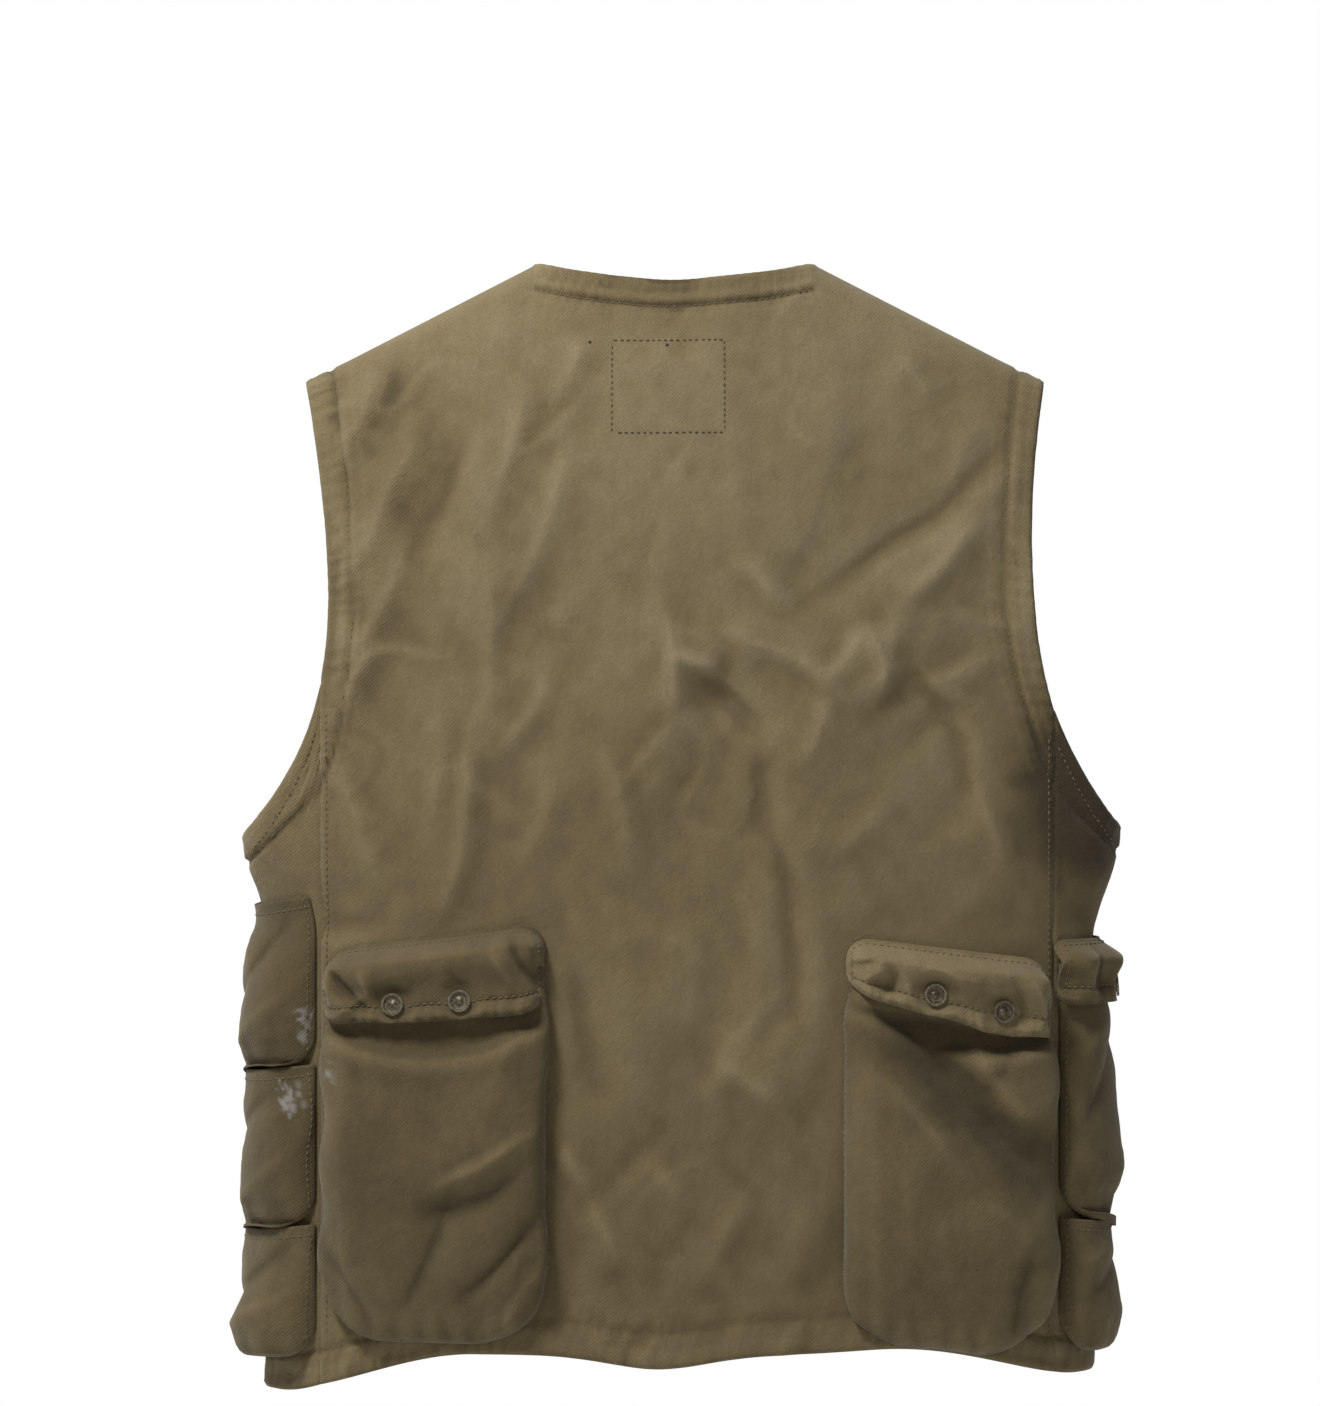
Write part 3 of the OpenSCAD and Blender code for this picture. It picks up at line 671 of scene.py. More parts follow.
def note_cut(obj, plain):
    """Keeps the size of a sheet's cut, measured on its plain grid without folds."""
    across = np.linalg.norm(np.diff(plain, axis=1), axis=-1).sum(1).max() * MM
    down = np.linalg.norm(np.diff(plain, axis=0), axis=-1).sum(0).max() * MM
    obj["cut_width"], obj["cut_length"] = float(min(across, down)), float(max(across, down))
    obj["cut_area"] = sheet_area(plain) * MM * MM


# Ends, normal and width of every stitch, for each body that has stitches.
STITCHES = {}


def stitch_line(body, points, normals, seed, length=2.4, gap=1.1, width=0.32):
    """Lays thread stitches along a path; they are built into one mesh for each body at the end."""
    points, run = make_edge(points)
    rng = np.random.RandomState(seed)
    at = 0.6
    made = STITCHES.setdefault(body, [])
    while at + length < run[-1]:
        size = length * rng.uniform(0.85, 1.1)
        middle = at + size / 2
        ends = [[np.interp(t, run, points[:, k]) for k in range(3)] for t in (at, middle, at + size)]
        n = np.array([np.interp(middle, run, normals[:, k]) for k in range(3)])
        made.append((np.array(ends), n / np.linalg.norm(n), width * rng.uniform(0.9, 1.15)))
        at += size + gap * rng.uniform(0.8, 1.2)


def build_stitches(body, material):
    """Each stitch is a soft six-sided bar, sunk into the cloth at both ends."""
    points, faces = [], []
    ring = [(1, 0.1), (0.55, 0.8), (-0.55, 0.8), (-1, 0.1), (-0.6, -0.5), (0.6, -0.5)]
    for ends, n, width in STITCHES[body]:
        along = ends[2] - ends[0]
        along /= np.linalg.norm(along)
        side = np.cross(along, n)
        side /= np.linalg.norm(side)
        base = len(points)
        stations = [(ends[0], 0.35, -0.25), (mix(ends[0], ends[1], 0.45), 1.0, 0.1), (ends[1], 1.05, 0.18),
                    (mix(ends[2], ends[1], 0.45), 1.0, 0.1), (ends[2], 0.35, -0.25)]
        for p, grow, rise in stations:
            for u, v in ring:
                points.append(p + side * u * width * grow + n * (v * width * grow + rise))
        for a in range(base, base + 24, 6):
            faces += [[a + k, a + (k + 1) % 6, a + 6 + (k + 1) % 6, a + 6 + k] for k in range(6)]
        for end in ([base + k for k in (5, 4, 3, 2, 1, 0)], [base + 24 + k for k in range(6)]):
            faces += [end[:4], [end[0], *end[3:]]]
    obj = mesh_object("stitches_" + body, np.array(points), np.array(faces))
    obj.data.materials.append(material)
    return obj


# ---------- materials ----------


def principled(name, **values):
    """New material, its node tree and its shader, with values set on the shader's own sockets."""
    material = bpy.data.materials.new(name)
    material.use_nodes = True
    tree = material.node_tree
    shader = tree.nodes["Principled BSDF"]
    for key, value in values.items():
        shader.inputs[key.replace("_", " ")].default_value = value
    return material, tree, shader


def new_node(tree, kind, vector=None, **values):
    """New node with its sockets or settings set, and with its Vector socket linked if one is given."""
    node = tree.nodes.new(kind)
    for key, value in values.items():
        if key in node.inputs:
            node.inputs[key].default_value = value
        else:
            setattr(node, key, value)
    if vector is not None:
        tree.links.new(vector, node.inputs["Vector"])
    return node


def speckles(tree, vector, scale, detail, roughness=0.5, **values):
    """Noise texture."""
    return new_node(tree, "ShaderNodeTexNoise", vector, Scale=scale, Detail=detail, Roughness=roughness,
                    **values).outputs["Fac"]


def read(tree, attribute, output="Fac"):
    return new_node(tree, "ShaderNodeAttribute", attribute_name=attribute).outputs[output]


def ramp(tree, factor, stops):
    node = tree.nodes.new("ShaderNodeValToRGB")
    while len(node.color_ramp.elements) < len(stops):
        node.color_ramp.elements.new(0.5)
    for element, (position, colour) in zip(node.color_ramp.elements, stops):
        element.position = position
        element.color = (*colour, 1.0)
    tree.links.new(factor, node.inputs["Fac"])
    return node.outputs["Color"]


def blend_colour(tree, kind, factor, a, b):
    node = tree.nodes.new("ShaderNodeMix")
    node.data_type = "RGBA"
    node.blend_type = kind
    node.clamp_result = True
    for key, value in (("Factor", factor), (6, a), (7, b)):
        if isinstance(value, tuple):
            node.inputs[key].default_value = (*value, 1.0)
        elif isinstance(value, float):
            node.inputs[key].default_value = value
        else:
            tree.links.new(value, node.inputs[key])
    return node.outputs[2]


def math_node(tree, kind, a, b):
    node = tree.nodes.new("ShaderNodeMath")
    node.operation = kind
    for socket, value in ((node.inputs[0], a), (node.inputs[1], b)):
        if isinstance(value, (int, float)):
            socket.default_value = value
        else:
            tree.links.new(value, socket)
    return node.outputs[0]


def sum_of(tree, total, *terms):
    """Adds each term, a socket and its weight, to a total."""
    for socket, weight in terms:
        total = math_node(tree, "ADD", total, math_node(tree, "MULTIPLY", socket, weight))
    return total


def grey(level):
    return (level, level, level)


def cloth_material(name, faded, middle, deep, weave_mm=0.85, contrast=1.0):
    """Washed cotton twill: faded and stained in patches, paler on its rubbed crests and darker with painted
    shade in its creases and hollows, with a fine weave.
    """
    material, tree, shader = principled(name, Roughness=0.92, Specular_IOR_Level=0.22, Sheen_Weight=0.18,
                                        Sheen_Roughness=0.6, Sheen_Tint=(0.85, 0.8, 0.65, 1.0))
    link = tree.links.new
    place = new_node(tree, "ShaderNodeTexCoord").outputs["Object"]
    tone, weave = read(tree, "tone"), read(tree, "weave", "Vector")
    patches = speckles(tree, place, 11.0, 5.0, 0.6)
    stretch = new_node(tree, "ShaderNodeMapping", weave, Scale=(95.0, 28.0, 1.0)).outputs["Vector"]
    streaks = speckles(tree, stretch, 1.0, 4.0, 0.65)
    dots = speckles(tree, place, 750.0, 3.0, 0.7)
    split = new_node(tree, "ShaderNodeSeparateXYZ", place)
    rise = new_node(tree, "ShaderNodeMapRange", **{"From Min": -0.57, "From Max": 0.0})
    link(split.outputs["Z"], rise.inputs["Value"])
    # The tone attribute carries rubbed wear and painted shade; dye patches, streaks and a rise that is
    # lighter towards the top are added to it.
    wear_and_shade = math_node(tree, "MULTIPLY", math_node(tree, "SUBTRACT", tone, 0.5), 0.9 * contrast)
    wear_and_shade = sum_of(tree, wear_and_shade, (patches, 0.55), (streaks, 0.22), (rise.outputs["Result"], 0.26))
    colour = ramp(tree, wear_and_shade, [(0.22, deep), (0.52, middle), (0.86, faded)])
    dust = ramp(tree, dots, [(0.3, grey(0.74)), (0.7, grey(1.2))])
    colour = blend_colour(tree, "MULTIPLY", 0.6, colour, dust)
    # A wave texture at this scale has one band for each row of the weave.
    rows = 0.314 / (weave_mm * MM)
    twill = new_node(tree, "ShaderNodeTexWave", weave, Scale=rows, Distortion=0.6, Detail=2.0,
                     bands_direction="DIAGONAL", **{"Detail Scale": 3.0})
    threads = new_node(tree, "ShaderNodeTexWave", weave, Scale=rows * 1.25, Distortion=0.4, Detail=1.0,
                       bands_direction="X")
    fabric = math_node(tree, "MULTIPLY", twill.outputs["Fac"], 0.6)
    fabric = sum_of(tree, fabric, (threads.outputs["Fac"], 0.35))
    tint = ramp(tree, fabric, [(0.15, grey(0.9)), (0.85, grey(1.06))])
    colour = blend_colour(tree, "MULTIPLY", 0.7, colour, tint)
    paint = math_node(tree, "MULTIPLY", read(tree, "paint"), 0.36)
    colour = blend_colour(tree, "MIX", paint, colour, grey(0.42))
    # Painted shade: where the tone falls below 0.28, as under the right armhole and in the right back
    # pocket's deep folds, the colour turns darker still.
    deepest_shade = ramp(tree, tone, [(0.0, grey(0.42)), (0.28, grey(1.0))])
    link(blend_colour(tree, "MULTIPLY", 1.0, colour, deepest_shade), shader.inputs["Base Color"])
    crumple = speckles(tree, place, 150.0, 4.0, 0.55, Distortion=0.8)
    height = math_node(tree, "ADD", math_node(tree, "MULTIPLY", fabric, 0.25), crumple)
    uneven = new_node(tree, "ShaderNodeBump", Strength=0.6, Distance=0.0011)
    link(sum_of(tree, height, (dots, 0.3)), uneven.inputs["Height"])
    link(uneven.outputs["Normal"], shader.inputs["Normal"])
    return material


def metal_material(name, clean, dull, roughness=0.38):
    """Worn plated metal with dull patches and fine scratches."""
    material, tree, shader = principled(name, Metallic=0.9)
    link = tree.links.new
    place = new_node(tree, "ShaderNodeTexCoord").outputs["Object"]
    patches = speckles(tree, place, 900.0, 5.0, 0.65)
    link(ramp(tree, patches, [(0.35, dull), (0.65, clean)]), shader.inputs["Base Color"])
    rough = new_node(tree, "ShaderNodeMapRange", **{"To Min": roughness + 0.2, "To Max": roughness - 0.1})
    link(patches, rough.inputs["Value"])
    link(rough.outputs["Result"], shader.inputs["Roughness"])
    scratch = new_node(tree, "ShaderNodeBump", Strength=0.25, Distance=0.0001)
    link(patches, scratch.inputs["Height"])
    link(scratch.outputs["Normal"], shader.inputs["Normal"])
    return material


def thread_material(name, colour):
    """Twisted thread."""
    material, tree, shader = principled(name, Roughness=0.75)
    place = new_node(tree, "ShaderNodeTexCoord").outputs["Object"]
    low = tuple(c * 0.7 for c in colour)
    high = tuple(min(1.0, c * 1.3) for c in colour)
    twist = ramp(tree, speckles(tree, place, 1600.0, 2.0), [(0.3, low), (0.7, high)])
    tree.links.new(twist, shader.inputs["Base Color"])
    return material


# Each cloth faded, as it mostly is, and where it is darkest.
BODY_CLOTH = cloth_material("body_cloth", (0.215, 0.17, 0.094), (0.148, 0.111, 0.052),
                            (0.098, 0.069, 0.03))
POCKET_CLOTH = cloth_material("pocket_cloth", (0.165, 0.126, 0.065), (0.116, 0.085, 0.038),
                              (0.072, 0.051, 0.021))
FACING_CLOTH = cloth_material("facing_cloth", (0.16, 0.128, 0.07), (0.115, 0.088, 0.045),
                              (0.08, 0.058, 0.028))
LABEL_CLOTH = cloth_material("label_cloth", (0.62, 0.59, 0.5), (0.52, 0.49, 0.4),
                             (0.42, 0.39, 0.31), 0.5, 0.3)
TAPE_CLOTH = cloth_material("zip_tape", (0.12, 0.1, 0.06), (0.085, 0.07, 0.038),
                            (0.055, 0.045, 0.024), 0.6, 0.3)
RING_METAL = metal_material("snap_ring", (0.34, 0.3, 0.22), (0.1, 0.08, 0.052))
CENTRE_METAL = metal_material("snap_centre", (0.2, 0.17, 0.12), (0.06, 0.045, 0.03), 0.5)
STUD_METAL = metal_material("snap_stud", (0.45, 0.36, 0.2), (0.2, 0.15, 0.08))
ZIP_METAL = metal_material("zip_metal", (0.42, 0.33, 0.17), (0.18, 0.13, 0.06), 0.42)
SLIDER_METAL = metal_material("zip_slider_metal", (0.4, 0.37, 0.3), (0.2, 0.17, 0.12))
THREAD = thread_material("thread", (0.12, 0.095, 0.055))
DARK_THREAD = thread_material("dark_thread", (0.05, 0.042, 0.03))


def settle(obj, body, material, stands_for, bends=False):
    """Gives a sheet of cloth its material, fixes it to its body or bakes its transform where it bends, and
    hides the parts it stands for.
    """
    obj.data.materials.append(material)
    if bends:
        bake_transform(obj)
    else:
        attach(obj, body)
    if stands_for:
        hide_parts(*stands_for)


# ---------- panels ----------

# Gap between a side panel and its neighbour at a seam, and how far a panel starts below the shoulder.
SEAM_GAP = {"back": 0.1, "front": 0.3}
EDGE_DROP = 0.003
# Seam allowance: its width on a side panel, in degrees, and how deep its middle lies inside.
SEAM_TURN = 4.0 / MM_PER_DEGREE
SEAM_DEPTH = 1.2


def flat_grid(face, x0, seam_gap, s=None):
    """Girth values and heights over the back panel, or over the front panel of side s."""
    rows = int(BODY_HEIGHT / GRID)
    fall = (np.arange(rows + 1) / rows) ** 1.25
    half = []
    for side in [LEFT, RIGHT] if s is None else [s]:
        seam = BACK_SEAM[side] if face > 0 else FRONT_SEAM
        nominal = mix(-SHOULDER_DROP, hem_z(side * seam, face), fall)
        edge = armhole_x(side, nominal)
        half.append(np.where(nominal > WAIST_Z[side], edge, np.minimum(edge, seam - seam_gap))[:, None])
    if s is None:
        p = np.linspace(1.0, -1.0, 2 * HALF_COLUMNS + 1)
    else:
        p = np.linspace(0.0, 1.0, HALF_COLUMNS + 1)[::-s * face] * s
    reach = np.where(p >= 0, half[0], half[-1])
    x = (np.sign(p) if s is None else s) * (x0 + (reach - x0) * np.abs(p))
    z = mix(neck_z(x, face) - EDGE_DROP, hem_z(x, face), fall[:, None])
    return x, z


def make_back_panel():
    x, z = flat_grid(1, 0.0, SEAM_GAP["back"])
    obj = cloth_sheet("back_panel_cloth", "back", x, z)
    settle(obj, "body", BODY_CLOTH, ["back_panel"])


def make_front_panel(s):
    side = name_of(s)
    x, z = flat_grid(-1, FRONT_EDGE, SEAM_GAP["front"], s)
    obj = cloth_sheet("front_panel_cloth_" + side, "front", x, z)
    nodes = ["front_panel_" + side, "front_side_" + side]
    settle(obj, "front_" + side, BODY_CLOTH, nodes, bends=True)


def side_angles(s, z, t):
    """Angles at shares t of the way from a side panel's front seam to its back seam."""
    front = -angle_at(s, FRONT_SEAM + SEAM_GAP["front"], z)
    return mix(front, angle_at(s, BACK_SEAM[s] + SEAM_GAP["back"], z), t)


def side_grid(s):
    columns, rows = 44, 150
    t = np.linspace(0.0, 1.0, columns + 1)[::s]
    x = side_x(s, side_angles(s, SIDE_LEVEL, t), SIDE_LEVEL)
    z = mix(armhole_z(s, x), hem_z(s * x, 1), np.linspace(0.0, 1.0, rows + 1)[:, None])
    return side_angles(s, z, t), z


def make_shoulder_seam(s):
    """Seam allowance inside the shoulder seam, which closes it."""
    x = np.sort(s * np.linspace(NECK_HALF + 1.0, SHOULDER_HALF - 1.0, 90))[None, :]
    down = np.array([5.0, 3.0, 1.6, 0.7, 0.2, EDGE_DROP])[:, None]
    lifts = (-SEAM_DEPTH + 0.3, -SEAM_DEPTH - 0.3)
    back = on_cloth("back", x, ridge_z(x) - down, lifts)[0]
    front = on_cloth("front", x, ridge_z(x) - down[::-1], lifts)[0]
    outer, inner = (np.vstack([back[k], front[k]]) for k in (0, 1))
    # A low tone: painted shade in the seam.
    tone = np.full(outer.shape[:2], 0.35)
    obj = shell("shoulder_seam_cloth_" + name_of(s), outer, inner, tone, outer[..., 0],
                2.0 * np.arange(len(outer))[:, None])
    note_cut(obj, (outer + inner) / 2.0)
    settle(obj, "body", BODY_CLOTH, [])


def make_side_panel(s):
    phi, z = side_grid(s)
    # Its edges are tucked in behind the back and the front, as the seam allowance is.
    way = np.sign(phi[:, 1:2] - phi[:, :1])
    phi = np.hstack([phi[:, :1] - way * SEAM_TURN * np.array([[1.0, 0.3]]), phi,
                     phi[:, -1:] + way * SEAM_TURN * np.array([[0.3, 1.0]])])
    up = 3.0 * np.linspace(0.0, 1.0, len(z))[:, None]
    z = np.hstack([z[:, :1] + up, z[:, :1] + up, z, z[:, -1:] + up, z[:, -1:] + up])
    lift = np.zeros(phi.shape)
    lift[:, :2] = lift[:, -2:] = -SEAM_DEPTH
    obj = cloth_sheet("side_panel_cloth_" + name_of(s), name_of(s), phi, z, lift)
    settle(obj, "body", BODY_CLOTH, ["side_panel_" + name_of(s)])


# ---------- facings ----------

# A facing's offset inside the cloth, its thickness and the rows or columns across it.
INSIDE = -(CLOTH / 2 + 0.3 + 0.4)
FACING_THICK = 0.6
FACING_STEPS = 12
# Corners of the inside label.
LABEL_X, LABEL_Z = (31.5, -24.5), (-41.0, -88.0)


def facing(name, body, place, a, z, nodes, material=FACING_CLOTH, bends=False):
    obj = cloth_sheet(name, place, a, z, INSIDE, FACING_THICK, -0.05)
    settle(obj, body, material, nodes, bends=bends)


def make_facings():
    """Facings inside the neck, the armholes and the hem, and the label inside the neck."""
    d = np.linspace(0.4, FACING, FACING_STEPS)[:, None]
    h = np.linspace(HEM, 0.4, FACING_STEPS)[:, None]
    x = np.linspace(NECK_HALF - 3, -(NECK_HALF - 3), 90)[None, :]
    facing("neck_facing_back_cloth", "body", "back", x, neck_z(x, 1) - d, ["neck_facing_back"])
    for s in (LEFT, RIGHT):
        side = name_of(s)
        x = s * np.linspace(FRONT_EDGE + 13, NECK_HALF - 4, 60)[None, ::s]
        facing("neck_facing_cloth_" + side, "front_" + side, "front", x, neck_z(x, -1) - d,
               ["neck_facing_" + side], bends=True)
        for place, seam, turned, node in (("back", BACK_SEAM[s], s, "armhole_facing_"),
                                          ("front", FRONT_SEAM, -s, "armhole_facing_front_")):
            z = np.linspace(-SHOULDER_DROP - 2, float(armhole_z(s, seam - 2)), 110)[:, None]
            w = np.linspace(0.3, FACING, FACING_STEPS)[None, ::turned]
            facing(f"armhole_facing_{place}_cloth_{side}", "body", place, s * (armhole_x(s, z) - w), z,
                   [node + side])
        t = np.linspace(0.02, 0.98, 60)[None, ::s]
        z = armhole_z(s, side_x(s, mix(*seam_angles(s, SIDE_LEVEL), t), SIDE_LEVEL)) - d
        facing("armhole_facing_under_cloth_" + side, "body", side, mix(*seam_angles(s, z), t), z, [])
        x = s * np.linspace(FRONT_EDGE + 13, FRONT_SEAM - 4, 90)[None, ::s]
        facing("hem_facing_cloth_" + side, "front_" + side, "front", x, hem_z(x, -1) + h,
               ["hem_facing_" + side], bends=True)
        t = np.linspace(0.02, 0.98, 40)[None, ::s]
        phi = mix(*seam_angles(s, -BODY_HEIGHT), t)
        facing("hem_facing_side_cloth_" + side, "body", side, phi,
               hem_z(s * side_x(s, phi, -BODY_HEIGHT), 1) + h, [])
    x = np.linspace(BACK_SEAM[LEFT] - 2, -BACK_SEAM[RIGHT] + 2, 180)[None, :]
    facing("hem_facing_back_cloth", "body", "back", x, hem_z(x, 1) + h, ["hem_facing_back"])
    x = np.linspace(*LABEL_X, 30)[None, :]
    z = np.linspace(*LABEL_Z, 26)[:, None]
    facing("inside_label_cloth", "body", "back", x, z, ["inside_label"], LABEL_CLOTH)


# ---------- pouches and flaps ----------

# Folds on a pocket's cloth: u and v at both ends (u across from its left edge, v down from its mouth),
# width and height in millimetres, and how steep its right-hand side is.
POUCH_FOLDS = {
    "back_pocket_left": [
        (0.5, 0.6, 0.98, 0.5, 6, 3.4, 0.5), (0.44, 0.66, 0.92, 0.58, 8, -3.6, 0.8),
        (0.62, 0.58, 0.36, 0.92, 8, -2.8, 1.8), (0.04, 0.3, 0.16, 0.74, 9, 1.4, 1.4),
        (0.62, 0.9, 0.98, 0.72, 5, -3.4, 0.8), (0.7, 0.98, 1.0, 0.82, 5, 2.4, 0.8),
        (0.06, 0.8, 0.28, 0.99, 6, -1.8, 1.2), (0.36, 0.14, 0.86, 0.1, 10, 1.4, 0.7),
        (0.2, 0.12, 0.3, 0.4, 10, 1.2, 1.6), (0.84, 0.16, 0.74, 0.42, 9, 1.3, 0.8),
    ],
    "back_pocket_right": [
        (0.2, 0.1, 0.6, 0.36, 18, -9.5, 0.9), (0.54, 0.32, 0.98, 0.6, 15, -9.0, 0.9),
        (0.1, 0.28, 0.56, 0.54, 9, 3.0, 0.5), (0.62, 0.2, 0.96, 0.42, 9, 3.2, 1.6),
        (0.62, 0.1, 0.66, 0.3, 6, 1.6, 1.4), (0.78, 0.1, 0.7, 0.3, 6, -1.8, 1.4),
        (0.66, 0.58, 0.88, 0.78, 8, 1.6, 0.6), (0.84, 0.72, 0.8, 0.99, 6, -2.4, 1.4),
        (0.3, 0.5, 0.2, 0.92, 12, 1.4, 1.2), (0.9, 0.8, 0.92, 0.99, 5, 1.8, 1.0),
        (0.44, 0.62, 0.62, 0.94, 11, 1.2, 1.0),
    ],
}
SIDE_FOLDS = [(0.05, 0.75, 0.95, 0.05, 6, -2.6, 0.5), (0.0, 0.4, 0.5, 0.15, 6, 1.6, 0.6),
              (0.35, 0.95, 0.95, 0.5, 6, 1.8, 0.6), (0.5, 0.1, 0.6, 0.9, 7, 1.0, 1.6)]
DEFAULT_FOLDS = [(0.15, 0.2, 0.45, 0.75, 10, 1.6, 1.4), (0.85, 0.15, 0.6, 0.8, 10, 1.5, 0.7),
                 (0.2, 0.85, 0.8, 0.9, 8, -1.3, 1.0), (0.4, 0.4, 0.75, 0.55, 9, -1.5, 0.8)]


def local_folds(folds, wide, tall, u, v, wander=3.2):
    scaled = [(u0 * wide, -v0 * tall, u1 * wide, -v1 * tall, *rest) for u0, v0, u1, v1, *rest in folds]
    return fold_field(u * wide, -v * tall, scaled, wander)


def near_snaps(name, a, z, reach=9.0):
    """1 at a pocket's snaps, where the hardware sits flat."""
    held = np.zeros(np.shape(a))
    for x, height in SNAPS.get(name, []):
        d = np.hypot((a - x) * mm_across(POUCHES[name].place), z - height)
        held = np.maximum(held, smooth(1.6 - d / reach))
    return held


# Radius of a pouch's bottom corners.
CORNERS = {"back": 38.0, "front": 24.0, "left": 17.0, "right": 17.0}
# How a pouch's wall hangs over its seams: how far outward, over what distance, and how far down.
SIDE_OVERHANG, OVERHANG = (1.2, 7.0, 7.0), (3.8, 11.0, 5.0)
# Spacing of a pouch's grid across and down, and of a flap's.
POUCH_GRID, FLAP_GRID = (1.25, 1.5), 0.8
# Lowest tone, so that the painted shade in creases doesn't turn black; in the deep folds of one pocket it
# may.
DARKEST, DARKEST_FOLD = 0.27, 0.14
POUCH_TONE = {"back_pocket_right": 0.04, "side_pocket_left_upper": -0.22, "side_pocket_left_middle": -0.14}
# How far a pocket's mouth is drawn in on each side under its flap, and how far the crescent below the
# flap is cut out in its middle.
DRAWN_IN = 6.0
CRESCENT = 13.0


def pouch_grid(name):
    """Girth values, heights and share (u, v) over a pouch whose bottom corners are rounded."""
    p = POUCHES[name]
    corner = CORNERS[p.place]
    drop = mouth_drop(name)
    wide = abs(p.a1 - p.a0) * mm_across(p.place)
    tall = p.top0 - drop - p.low
    u = np.linspace(0.0, 1.0, int(wide / POUCH_GRID[0]) + 1)[None, :]
    v = np.linspace(0.0, 1.0, int(tall / POUCH_GRID[1]) + 1)[:, None]
    inset = np.clip(1.0 - np.minimum(u, 1.0 - u) * wide / corner, 0.0, 1.0)
    bottom = p.low + corner * (1.0 - np.sqrt(1.0 - inset ** 2)) * 0.85
    if name == "back_pocket_right":
        bottom = bottom - 5.0 * smooth((u - 0.4) / 0.4)
    if name in HANGS_OVER:
        away = u if p.place == "right" else 1.0 - u
        bottom = bottom - 2.0 - 6.0 * smooth((away - 0.25) / 0.5)
    top = seam_of(p, u) - drop
    if not drop:
        top = top - 3.5 * np.sin(math.pi * u) + 2.0 * (u - 0.5)
    u, v = np.broadcast_arrays(u, v)
    return mix(p.a0, p.a1, u), mix(top, bottom, v), u, v, wide, tall


